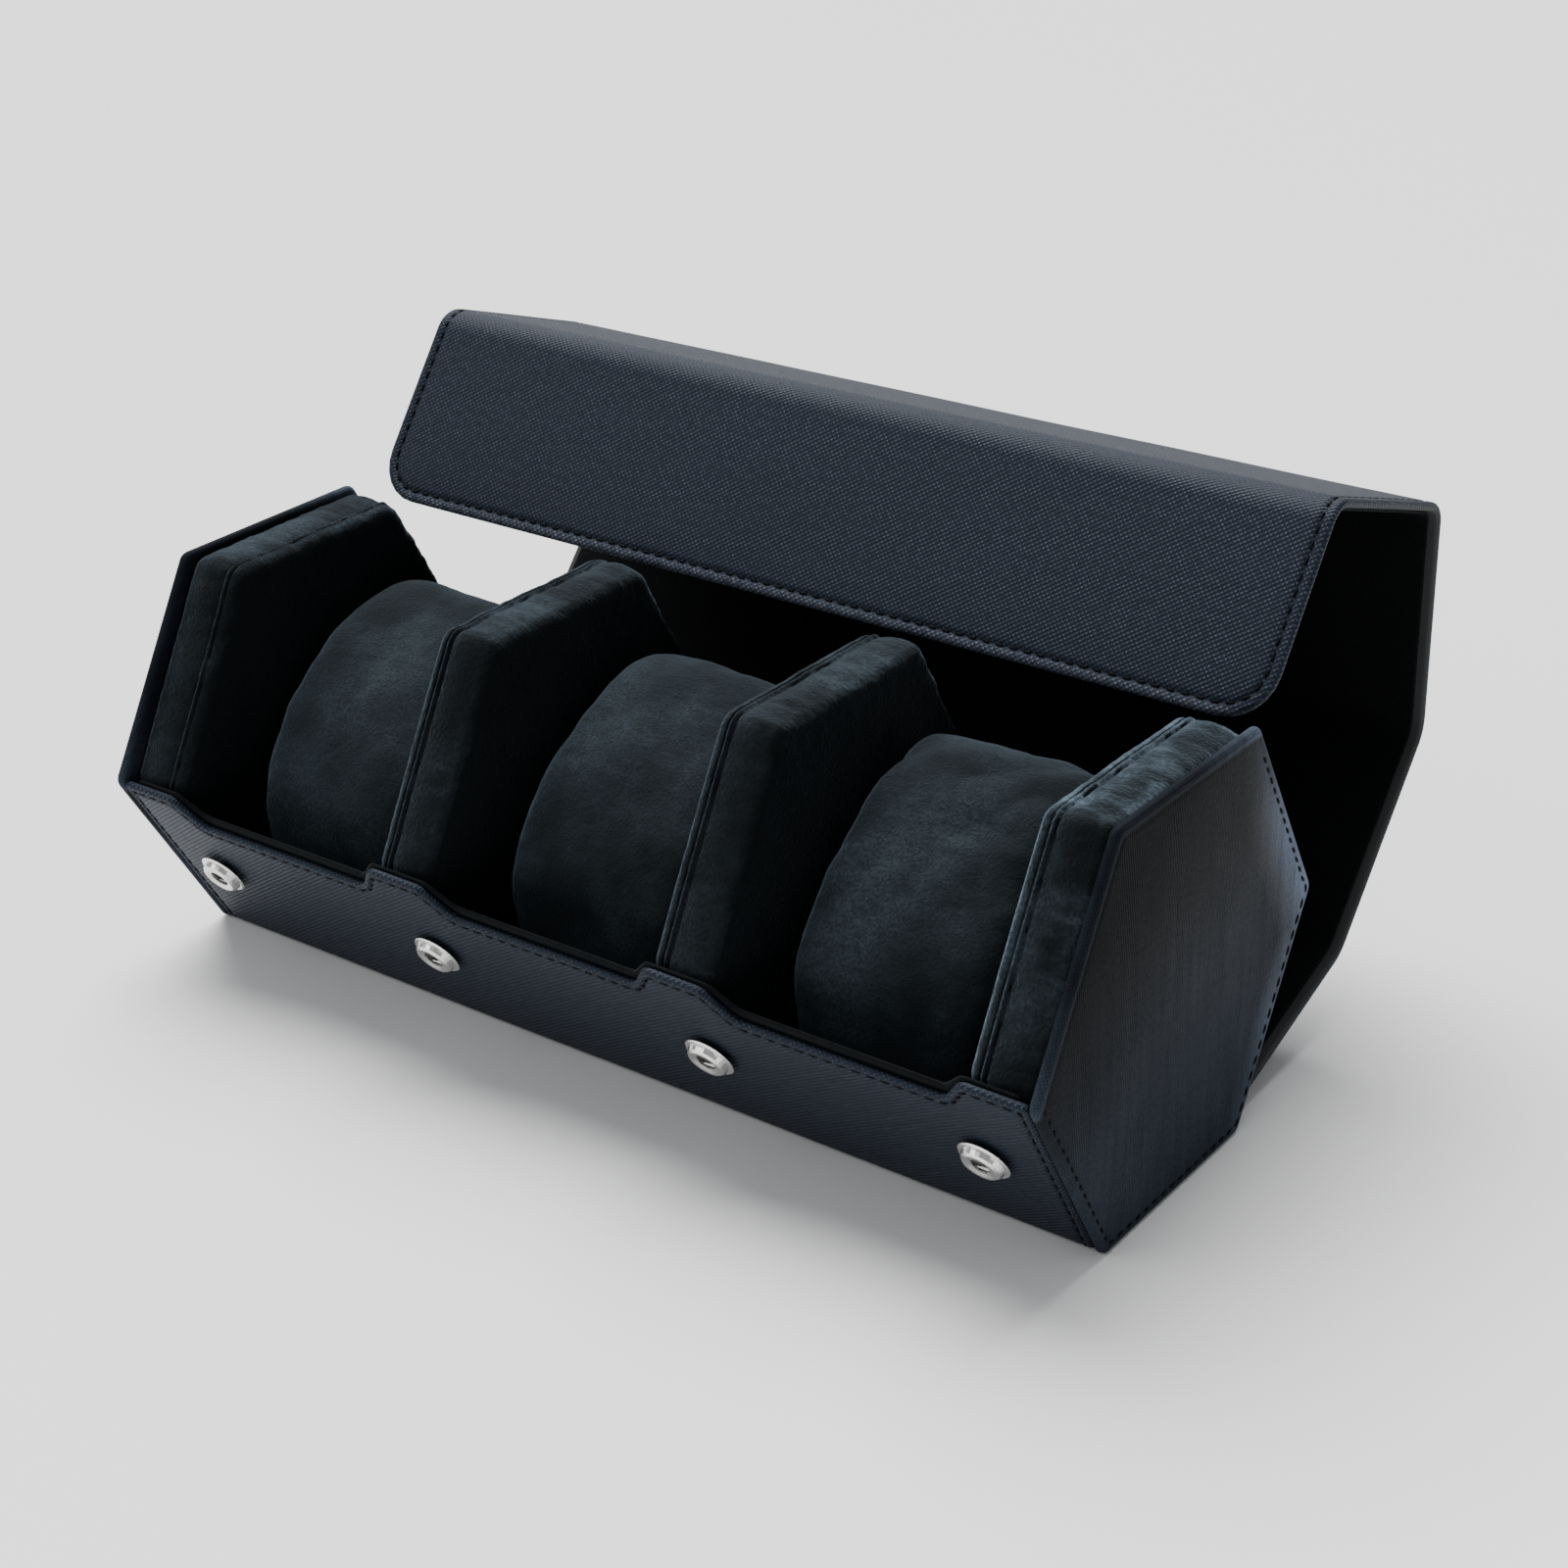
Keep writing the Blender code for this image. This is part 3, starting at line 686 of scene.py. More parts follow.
def edge_nearness(tree, vector, angle, near, far):
    """How close a place on an end panel is to the side that faces a way, from 0 inside to 1 at the side.

    The angle is in degrees up from the rear, and both distances are in mm from the panel's middle.
    """
    place = parts_of(tree, vector)
    across = product(tree, place["X"], math.cos(math.radians(angle)))
    raised = calculate(tree, "SUBTRACT", place["Y"], IN_RADIUS)
    along = product(tree, raised, math.sin(math.radians(angle)))
    return remap(tree, calculate(tree, "ADD", across, along), near * MM, far * MM)


def end_leather_material(name, **leather):
    """Finely woven leather, with painted highlights along the rear edges and a painted bright rim, painted
    shade on the front top, and bluer towards the table.
    """
    material = leather_material(name, **leather)
    tree = material.node_tree
    colour = tree.nodes["Principled BSDF"].inputs["Base Color"]
    flat = mapped(tree, "UV")
    streaks = noise_value(tree, mapped(tree, "UV", 0.0, (520, 34, 1)), 1.0)
    clouds = noise_value(tree, flat, 34.0, 2.0)
    # Painted highlight: the two rear sides are made pale, most of all at the corner between them
    painted_highlight_upper_rear = edge_nearness(tree, flat, 30.0, 29.0, 40.0)
    painted_highlight_lower_rear = product(tree, edge_nearness(tree, flat, -30.0, 34.0, 41.0), 0.6)
    corner = remap(tree, edge_nearness(tree, flat, 0.0, 18.0, 40.0), 0.0, 1.0, 0.15, 1.0)
    rear = product(tree, calculate(tree, "MAXIMUM", painted_highlight_upper_rear, painted_highlight_lower_rear), corner)
    # Painted shade darkens the front top, and a painted highlight makes a bright rim along its two sides
    shaded = edge_nearness(tree, flat, 120.0, -4.0, 36.0)
    lit_sides = (edge_nearness(tree, flat, angle, 40.3, 41.3) for angle in (90.0, 150.0))
    painted_rim_highlight = calculate(tree, "MAXIMUM", *lit_sides)
    # Random streaks and clouds, times the painted highlights and the painted shade
    tone_and_painted_light = product(
        tree,
        remap(tree, streaks, 0.3, 0.7, 0.82, 1.2),
        remap(tree, clouds, 0.3, 0.7, 0.8, 1.2),
        remap(tree, rear, 0.0, 1.0, 1.0, 5.5),
        remap(tree, shaded, 0.0, 1.0, 1.3, 0.12),
        remap(tree, painted_rim_highlight, 0.0, 1.0, 1.0, 3.4),
    )
    # Bluer towards the table and in the painted highlights, warmer elsewhere
    low = edge_nearness(tree, flat, -90.0, -28.0, 34.0)
    bluer = calculate(tree, "MAXIMUM", low, calculate(tree, "MAXIMUM", painted_rim_highlight, rear))
    tint = mix_colour(tree, bluer, (1.06, 0.99, 0.92, 1.0), (0.86, 1.0, 1.2, 1.0))
    woven = colour.links[0].from_socket
    tree.links.new(scaled_colour(tree, tinted_colour(tree, woven, tint), tone_and_painted_light), colour)
    return material


def pile_material(name, dark, light, sheen, stroke, fine=1400.0, mottle=38.0, nap=0.0, relief=0.55):
    """Velvet or plush: patches brushed lighter and darker, strokes of pile, and a soft sheen.

    Stroke, fine and mottle are the scales of the strokes, of the single hairs and of the brushed patches.
    With a nap, painted shade makes the steep sides darker than the top.
    """
    material, tree, shader = new_material(name)
    place = mapped(tree, "Object")
    patches = noise_value(tree, place, mottle, 4.0, 0.5)
    strokes = noise_value(tree, mapped(tree, "Object", 0.0, stroke), 1.0, 4.0, 0.65)
    fuzz = noise_value(tree, place, fine, 2.0)
    brushed = product(
        tree,
        remap(tree, patches, 0.41, 0.61),
        remap(tree, strokes, 0.3, 0.7, 0.45, 1.0),
        remap(tree, fuzz, 0.34, 0.66, 0.35, 1.0),
    )
    # Painted shade on the steep sides, by the nap's share
    if nap:
        facing = parts_of(tree, add(tree, "ShaderNodeTexCoord").outputs["Normal"])
        brushed = product(tree, brushed, remap(tree, facing["Z"], 0.55, 0.92, 1.0 - nap, 1.0))
    normal = add_bump(tree, strokes, relief, STROKE_RELIEF)
    fill_inputs(tree, shader, {
        "Base Color": mix_colour(tree, brushed, dark, light),
        "Roughness": 0.95,
        "Specular IOR Level": 0.12,
        "Sheen Weight": sheen,
        "Sheen Roughness": 0.38,
        "Sheen Tint": PILE_SHEEN,
        "Normal": add_bump(tree, fuzz, 0.75, FUZZ_RELIEF, normal),
    })
    return material


def nickel_material(name):
    material, tree, shader = new_material(name)
    bright = colours().nickel
    marks = noise_value(tree, mapped(tree, "Object"), 900.0, 4.0)
    fill_inputs(tree, shader, {
        "Metallic": 1.0,
        "Base Color": mix_colour(tree, remap(tree, marks, 0.3, 0.7), shade(bright, 0.88), bright),
        "Roughness": remap(tree, marks, 0.3, 0.7, 0.2, 0.3),
        "Normal": add_bump(tree, marks, 0.05, 0.05 * MM),
    })
    return material


def thread_material(name):
    material, tree, shader = new_material(name)
    dark = colours().thread
    twist = embossed_lines(tree, "Object", 30.0, THREAD_TWIST, 0.3)
    fill_inputs(tree, shader, {
        "Base Color": mix_colour(tree, twist, dark, shade(dark, 2.4)),
        "Roughness": 0.7,
        "Specular IOR Level": 0.12,
        "Normal": add_bump(tree, twist, 0.4, 0.08 * MM),
    })
    return material


def finish(name, maker, **looks):
    """One material of each name, made when it is first asked for."""
    if name not in FINISHES:
        FINISHES[name] = maker(name, **looks)
    return FINISHES[name]


def wrap_leather():
    paint = colours()
    return finish(
        "hatched_leather", wrap_leather_material, edge=WRAP.stations[-1],
        angles=HATCH_ANGLES, pitch=sizes().hatch_pitch, ground=paint.leather, crest=paint.leather_crest,
        strength=0.8, rough=(0.62, 0.42), shine=0.22,
    )


def turned_leather():
    edge = colours().turned_edge
    return finish(
        "turned_leather", leather_material,
        angles=HATCH_ANGLES, pitch=sizes().hatch_pitch * 0.5, ground=edge, crest=edge,
        strength=0.3, rough=(0.75, 0.65), shine=0.2,
    )


def end_leather():
    paint = colours()
    return finish(
        "end_leather", end_leather_material,
        angles=WEAVE_ANGLES, pitch=sizes().hatch_pitch * 0.72,
        ground=paint.end_ground, crest=paint.end_crest, strength=0.4, rough=(0.72, 0.55), shine=0.05,
    )


def lining_velvet():
    paint = colours()
    return finish(
        "lining_pile", pile_material, dark=paint.lining, light=paint.plush, sheen=0.05, stroke=(160, 500, 160),
    )


def cushion_velvet():
    paint = colours()
    return finish(
        "cushion_pile", pile_material, dark=paint.velvet, light=paint.velvet_brushed, sheen=0.27,
        stroke=(240, 430, 500), fine=1700.0, mottle=30.0, relief=0.35,
    )


def slab_plush(node):
    """The right end pad's pile is a paler copy with more sheen, painted light; on every slab the nap paints
    shade on the steep sides.
    """
    paint = colours()
    name, lift, sheen = ("brushed_pile", 2.9, 0.62) if node == "right_end_pad" else ("slab_pile", 0.75, 0.30)
    return finish(
        name, pile_material, dark=paint.plush, light=shade(paint.plush_brushed, lift), sheen=sheen,
        stroke=(150, 560, 560), fine=1300.0, mottle=60.0, nap=0.74, relief=0.8,
    )


# A darker pile with little sheen for the slabs' flat sides: painted shade
def painted_shade_face_plush():
    paint = colours()
    return finish(
        "slab_face_pile", pile_material, dark=paint.plush, light=paint.velvet, sheen=0.13,
        stroke=(150, 420, 420), fine=1300.0, mottle=60.0,
    )


def dress(obj, material, body=None, replaced=(), turned=None):
    """Give a finished piece its material and the body it rides on, and hide the nodes that it replaces.

    A piece may have a second material on the faces that were numbered for it.
    """
    kept = [face.material_index for face in obj.data.polygons]
    obj.data.materials.clear()
    obj.data.materials.append(material)
    if turned:
        obj.data.materials.append(turned)
    obj.data.polygons.foreach_set("material_index", kept if turned else [0] * len(kept))
    if replaced:
        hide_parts(*replaced)
    if body:
        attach(obj, body)


# Leather and linings of the wrap

FRONT_START = 0.4 * MM
FRONT_CORNER = 1.0 * MM
LEATHER_DIP_RADIUS = 3.2 * MM
LINING_DIP_RADIUS = 2.2 * MM
NARROW_BEAD = 1.75 * MM
BEND_SPACING = 0.5 * MM
CREASE_SPACING = 0.8 * MM
LINING_GAP = 0.04 * MM
LINING_INSET = 1.6 * MM
LINING_SLACK = 0.3 * MM


def dip_corners(half, depth, radius, slack=0.0):
    """Outline of the front panel laid flat: s grows downwards, and the top edge dips at each compartment."""
    slant = sizes().recess_slant
    fold = WRAP.before(FOLD_FRONT)
    edges = [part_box(slab) for slab in SLABS]
    corners = [(-half, fold, 0.0), (-half, FRONT_START, FRONT_CORNER)]
    for left, right in zip(edges, edges[1:]):
        low, high = left[1].x + slack, right[0].x - slack
        corners += [(low, FRONT_START, radius), (low + slant, FRONT_START + depth, radius)]
        corners += [(high - slant, FRONT_START + depth, radius), (high, FRONT_START, radius)]
    return corners + [(half, FRONT_START, FRONT_CORNER), (half, fold, 0.0)]


def flap_corners(half, start, end, radius):
    """Outline of the flap laid flat, with its two free corners rounded."""
    return [(half, start, 0.0), (half, end, radius), (-half, end, radius), (-half, start, 0.0)]


def blend_over(piece, k, before, after):
    """Bake a piece's place into its mesh; the piece over fold k is not bent between the two panels that it
    joins.
    """
    start = WRAP.point(WRAP.before(k), 0.0)
    end = WRAP.point(WRAP.after(k), 0.0)
    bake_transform(piece)


def lid_chain():
    """(fold number, body before it, body after it) for each of the lid's folds."""
    bodies = ("base",) + LID_BODIES
    return [(FOLD_REAR + i, bodies[i], bodies[i + 1]) for i in range(len(LID_BODIES))]


def cover_case(names, nodes, half, corners, profile, material):
    """One layer of the fixed wrap: the front, and the bottom with the bend between them."""
    front = outlined_sheet(names[0], corners, profile, on_wrap, open_side=True)
    dress(front, material, "base", nodes[:1])
    bend = WRAP.after(FOLD_FRONT)
    stations = stations_between(WRAP.before(FOLD_FRONT), bend, BEND_SPACING)
    stations += stations_between(bend, WRAP.before(FOLD_REAR))[1:]
    bottom = swept_sheet(names[1], half, profile, stations, on_wrap)
    dress(bottom, material, "base", nodes[1:])


def cover_lid(layer, cloth, half, profile, margin, material, turned=None):
    """One layer of the lid: a crease over each fold, and a piece on each panel."""
    for k, before, after in lid_chain():
        node = after.replace("lid", layer)
        stations = stations_between(WRAP.before(k), WRAP.after(k), CREASE_SPACING)
        crease = swept_sheet(f"{node}_crease", half, profile, stations, on_wrap)
        dress(crease, material, turned=turned)
        blend_over(crease, k, before, after)
        start = WRAP.after(k)
        if after == LID_BODIES[-1]:
            corners = flap_corners(half, start, WRAP.stations[-1] - margin, sizes().flap_corner - margin)
            panel = outlined_sheet(f"{node}_{cloth}", corners, profile, on_wrap, open_side=True)
        else:
            stations = stations_between(start, WRAP.before(k + 1))
            panel = swept_sheet(f"{node}_{cloth}", half, profile, stations, on_wrap)
        dress(panel, material, after, [node], turned)


class WATCHROLL_OT_leather_wrap(bpy.types.Operator):
    """Make the leather of the front, the bottom, the five lid panels and the folds between them"""

    bl_idname = "watch_roll.leather_wrap"
    bl_label = "Leather wrap"

    def execute(self, context):
        size = sizes()
        leather, turned = wrap_leather(), turned_leather()
        corners = dip_corners(WRAP_HALF, size.recess_depth, LEATHER_DIP_RADIUS)
        narrow = edge_profile(size.leather_thickness, NARROW_BEAD, size.groove_depth)
        names, nodes = ("front_leather", "bottom_leather"), ("front_panel", "bottom_panel")
        cover_case(names, nodes, WRAP_HALF, corners, narrow, leather)
        profile = edge_profile(size.leather_thickness, size.bead_width, size.groove_depth)
        cover_lid("lid", "leather", LID_HALF, profile, 0.0, leather, turned)
        return {"FINISHED"}


def lining_profile(outer, inner):
    """The rounded edge of a velvet lining that lies between two depths."""
    half = (inner - outer) / 2
    points = [(LINING_INSET, outer)]
    for step in range(7):
        angle = math.pi * step / 6
        points.append((half - half * math.sin(angle), outer + half - half * math.cos(angle)))
    points.append((LINING_INSET, inner))
    return [(inset, depth, inset) for inset, depth in points]


class WATCHROLL_OT_linings(bpy.types.Operator):
    """Make the velvet inside the wrap, with a lip that stands above each dip of the front panel"""

    bl_idname = "watch_roll.linings"
    bl_label = "Velvet linings"

    def execute(self, context):
        size = sizes()
        velvet = lining_velvet()
        profile = lining_profile(size.leather_thickness + LINING_GAP, CAD_LINING_INNER)
        dip = size.recess_depth - size.lip_height
        corners = dip_corners(LINING_HALF, dip, LINING_DIP_RADIUS, LINING_SLACK)
        names, nodes = ("front_velvet", "floor_velvet"), ("front_lining", "floor_lining")
        cover_case(names, nodes, LINING_HALF, corners, profile, velvet)
        cover_lid("lining", "velvet", LINING_HALF, profile, LID_HALF - LINING_HALF, velvet)
        return {"FINISHED"}


# End panels

END_BEAD = 2.0 * MM
END_CORNER = 2.6 * MM
END_WAVE = 0.06 * MM
# The groove of the ends' seams as a share of the wrap's
END_GROOVE_SHARE = 0.4
# The seam is sewn through from the front corner down and round to this angle, at the rear top corner
SEWN_ANGLE = math.radians(238)


def hexagon_corners(side, radius):
    """Corners of a hexagon standing on a side, anticlockwise, in the section's (y, z)."""
    middle = side * math.sqrt(3) / 2
    return [
        (side * math.cos(math.radians(60 * i)), middle + side * math.sin(math.radians(60 * i)), radius)
        for i in range(6)
    ]


def sewn_sides(points):
    """The part of an end panel's seam that is sewn through: all but the top and the upper front side."""
    turned = [(math.atan2(p[1] - IN_RADIUS, p[0]) - math.pi) % (2 * math.pi) for p in points]
    order = sorted(range(len(points)), key=turned.__getitem__)
    return [points[i] for i in order if turned[i] < SEWN_ANGLE]


def on_end(sign):
    """Places on an end panel, with the slight waves that leather has over its board."""
    def place(y, z, depth):
        wave = END_WAVE * (1 + noise.noise(Vector((y * 30, z * 30, 5.0 + sign))))
        return Vector((sign * (CASE_HALF - depth - wave), y, z))
    return place


class WATCHROLL_OT_end_panels(bpy.types.Operator):
    """Make the two leather-covered hexagonal ends with their rolled rims"""

    bl_idname = "watch_roll.end_panels"
    bl_label = "End panels"

    def execute(self, context):
        size = sizes()
        for side, sign in zip(SIDES, (-1, 1)):
            node = f"{side}_end_panel"
            low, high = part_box(node)
            profile = edge_profile(high.x - low.x, END_BEAD, size.groove_depth * END_GROOVE_SHARE)
            corners = hexagon_corners(HEX_SIDE, END_CORNER)
            panel = outlined_sheet(f"{side}_end_leather", corners, profile, on_end(sign))
            dress(panel, end_leather(), "base", [node])
        return {"FINISHED"}


# Plush slabs

# A face of a slab's mesh is one of its flat sides where its normal's X is past this; these take a darker pile,
# painted shade
SLAB_FACE_TURN = 0.86
SLAB_CORNER = 3.8 * MM
SLAB_CROWN = 0.7 * MM
SLAB_RIM = 4.0 * MM
SLAB_SPACING = 1.0 * MM
SLAB_FACE_SPACING = 2.5 * MM
BAND_BULGE = 0.45 * MM
WELT_SHARE = 0.75
WELT_WIDTH = 1.3 * MM
WELT_RISE = 0.4 * MM
WELT_DIP = 0.32 * MM


def slab_profile(thickness, edge, welt_first):
    """(inset, offset, flat) from the middle of one face round the edge to the other, with a sewn welt."""
    arc = []
    for step in range(7):
        angle = math.pi / 2 * step / 6
        arc.append((edge - edge * math.sin(angle), edge - edge * math.cos(angle)))
    near = [(edge + SLAB_RIM, 0.0), (edge + 1.5 * MM, 0.02 * MM), *arc]
    middle = edge + WELT_WIDTH * WELT_SHARE
    welt = []
    for step in range(-4, 5):
        across = step / 4
        dip = WELT_DIP * math.sin(math.pi * abs(across)) ** 2 if abs(across) > 0.5 else WELT_DIP
        rise = WELT_RISE * max(0.0, math.cos(math.pi * across)) if abs(across) < 0.5 else 0.0
        welt.append((dip - rise * 1.6, middle + across * WELT_WIDTH))
    start, stop = welt[-1][1], thickness - edge
    band = []
    for step in range(1, 6):
        share = step / 6
        band.append((-BAND_BULGE * math.sin(math.pi * share), start + (stop - start) * share))
    far = [(inset, thickness - offset) for inset, offset in reversed(near)]
    points = near + welt + band + far
    if not welt_first:
        points = [(inset, thickness - offset) for inset, offset in reversed(points)]
    return [(inset, offset, inset) for inset, offset in points]


def on_slab(node, side):
    """Places on a slab, whose faces are crowned and whose pile stands up on top and lies in lumps."""
    low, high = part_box(node)
    reach = side * math.sqrt(3) / 2
    pile = sizes().pile_height

    def place(y, z, offset):
        out = math.hypot(y, z - IN_RADIUS) / side
        puff = SLAB_CROWN * max(0.0, 1.0 - out * out) * math.cos(math.pi * offset / (high.x - low.x))
        raised = min(1.0, max(0.0, (z - IN_RADIUS) / reach))
        spot = Vector((low.x + offset, y, z + pile * raised))
        combed = Vector((spot.x * 95, spot.y * 410, spot.z * 410))
        # Broad lumps, strokes combed across the thickness, and tufts, in mm
        lump = noise.noise(spot * 120) * 0.30 + noise.noise(combed) * 0.34 + noise.noise(spot * 900) * 0.16
        away = Vector((0.0, y, z - IN_RADIUS)).normalized()
        return spot - Vector((puff, 0, 0)) + (away + Vector((0.5, 0, 0))) * lump * MM
    return place


class WATCHROLL_OT_plush_slabs(bpy.types.Operator):
    """Make the plush-covered end pads and dividers"""

    bl_idname = "watch_roll.plush_slabs"
    bl_label = "Plush pads and dividers"

    def execute(self, context):
        edge = sizes().plush_edge
        for node in SLABS:
            low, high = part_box(node)
            side = (high.z - low.z) / math.sqrt(3)
            lift = IN_RADIUS - side * math.sqrt(3) / 2
            corners = [(y, z + lift, radius) for y, z, radius in hexagon_corners(side, SLAB_CORNER)]
            profile = slab_profile(high.x - low.x, edge, node != "left_end_pad")
            slab = outlined_sheet(
                f"{node}_plush", corners, profile, on_slab(node, side),
                spacing=SLAB_SPACING, smooth=80.0, filling=SLAB_FACE_SPACING,
            )
            # The flat sides get the darker pile with less sheen, painted shade
            for face in slab.data.polygons:
                face.material_index = int(abs(face.normal.x) > SLAB_FACE_TURN)
            dress(slab, slab_plush(node), "base", [node], painted_shade_face_plush())
        return {"FINISHED"}


# Cushions

CUSHION_FRONT_REACH = 44.5 * MM
CUSHION_FLATNESS = 1.6
CUSHION_WALL_GAP = 4.5 * MM
CUSHION_FRONT_FILL = 0.85
CUSHION_WRINKLES = (0.8, 1.0, 1.9)
# The cover starts a little smaller than the solid, because the stuffing swells it
COVER_SHRINK = (0.99, 0.985, 0.985, 1)
COVER_SWELL = 1.5 * MM
COVER_CLOTH = {
    "quality": 6, "mass": 0.3, "tension_stiffness": 18, "compression_stiffness": 6, "bending_stiffness": 0.6,
    "use_pressure": True,
}
COVER_PROUD = 1.0 * MM
COVER_LIFT = 0.05 * MM
# No point of a cushion is further than this from its middle, in metres
COVER_REACH = 0.2


def merged_copy(node, name):
    """The node's solid as one closed mesh of its own."""
    mesh = frame["nodes"][node].data.copy()
    mesh.name = name
    bm = bmesh.new()
    bm.from_mesh(mesh)
    bmesh.ops.remove_doubles(bm, verts=bm.verts, dist=0.01 * MM)
    bm.to_mesh(mesh)
    bm.free()
    return new_object(name, mesh)


def apply_modifiers(obj):
    mesh = evaluated_mesh(obj)
    obj.modifiers.clear()
    obj.data = mesh


def subdivide(obj):
    smooth = obj.modifiers.new("round", "SUBSURF")
    smooth.levels = smooth.render_levels = 1


def stuff_cushion(obj):
    """Blow the cover up from inside, without gravity, as the stuffing does."""
    size = sizes()
    cloth = obj.modifiers.new("cover", "CLOTH")
    for key, value in COVER_CLOTH.items():
        setattr(cloth.settings, key, value)
    cloth.settings.uniform_pressure_force = size.pressure
    cloth.settings.effector_weights.gravity = 0.0
    cloth.point_cache.frame_start = 1
    cloth.point_cache.frame_end = size.frames
    scene = bpy.context.scene
    for number in range(1, size.frames + 1):
        scene.frame_set(number)
    apply_modifiers(obj)
    scene.frame_set(1)


def hold_within(obj, start, limit):
    """Cap how far the stuffing may move each point of the cover."""
    for vert, old in zip(obj.data.vertices, start):
        moved = vert.co - old
        if moved.length > limit:
            vert.co = old + moved.normalized() * limit


def fill_front(obj, low, high):
    """Let the lower front of a cushion hang straight down and rest against the front lining."""
    crown = low.y + CUSHION_FRONT_REACH
    level = (low.z + high.z) / 2
    half = (high.z - low.z) / 2
    for vert in obj.data.vertices:
        if vert.co.y > crown or vert.co.z > level:
            continue
        fall = min(1.0, (level - vert.co.z) / half)
        sine = fall ** (CUSHION_FLATNESS / 2)
        solid_reach = CUSHION_FRONT_REACH * max(0.02, 1 - sine * sine) ** (1 / CUSHION_FLATNESS)
        wall = WRAP.corners[FOLD_FRONT].x - vert.co.z / math.sqrt(3) + CUSHION_WALL_GAP
        free_reach = min(CUSHION_FRONT_REACH, crown - wall)
        stretch = max(1.0, free_reach / solid_reach)
        vert.co.y = crown + (vert.co.y - crown) * (1 + (stretch - 1) * CUSHION_FRONT_FILL)


def rumple(obj, number, low, high):
    """Low waves, folds and dents of a soft cover, in mm, with the dents on its upper half only."""
    centre = (low + high) / 2
    mesh = obj.data
    normals = [v.normal.copy() for v in mesh.vertices]
    for vert, normal in zip(mesh.vertices, normals):
        spot = vert.co
        shift = Vector((0, 0, number * 3.7))
        wave = noise.noise(spot * 42 + shift) * 0.7
        fold = noise.noise(Vector((spot.x * 55, spot.y * 100, spot.z * 100)) + shift) * 0.5
        crumple = (abs(noise.noise(spot * 75 + shift)) - 0.2) * 0.9
        upper = min(1.0, max(0.0, (spot.z - centre.z) / (high.z - centre.z) * 1.6))
        nap = noise.noise(spot * 420) * 0.1
        depth = wave + fold + crumple * upper * CUSHION_WRINKLES[number] - 0.3 + nap
        vert.co = spot + normal * depth * MM
        vert.co.x = min(max(vert.co.x, low.x - COVER_PROUD), high.x + COVER_PROUD)
        vert.co.z = max(vert.co.z, low.z + COVER_LIFT)
        if (vert.co - centre).length > COVER_REACH:
            raise RuntimeError(f"{obj.name} has left its compartment")


class WATCHROLL_OT_cushions(bpy.types.Operator):
    """Stuff the three velvet cushions"""

    bl_idname = "watch_roll.cushions"
    bl_label = "Velvet cushions"

    def execute(self, context):
        for number, node in enumerate(CUSHIONS):
            low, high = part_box(node)
            cushion = merged_copy(node, f"{node}_velvet")
            centre = (low + high) / 2
            shrink = Matrix.Translation(centre) @ Matrix.Diagonal(COVER_SHRINK) @ Matrix.Translation(-centre)
            fill_front(cushion, low, high)
            cushion.data.transform(shrink)
            subdivide(cushion)
            remesh = cushion.modifiers.new("even", "REMESH")
            remesh.mode = "VOXEL"
            remesh.voxel_size = sizes().voxel
            apply_modifiers(cushion)
            start = [v.co.copy() for v in cushion.data.vertices]
            stuff_cushion(cushion)
            hold_within(cushion, start, COVER_SWELL)
            subdivide(cushion)
            apply_modifiers(cushion)
            rumple(cushion, number, low, high)
            cushion.data.shade_smooth()
            dress(cushion, cushion_velvet(), "base", [node])
        return {"FINISHED"}


# Snaps keep their solids and get a finish

class WATCHROLL_OT_snaps(bpy.types.Operator):
    """Finish the press snaps in bright nickel"""

    bl_idname = "watch_roll.snaps"
    bl_label = "Press snaps"

    def execute(self, context):
        nickel = finish("bright_nickel", nickel_material)
        for name, node in frame["nodes"].items():
            if name.startswith("snap_"):
                node.data.materials.clear()
                node.data.materials.append(nickel)
        return {"FINISHED"}


# Stitching

# How deep in the groove the thread lies, as a share of the groove's depth
STITCH_SINK = 0.55
# A stitch is slanted by a random angle between these two, in radians
STITCH_SLANT = (-0.05, 0.16)


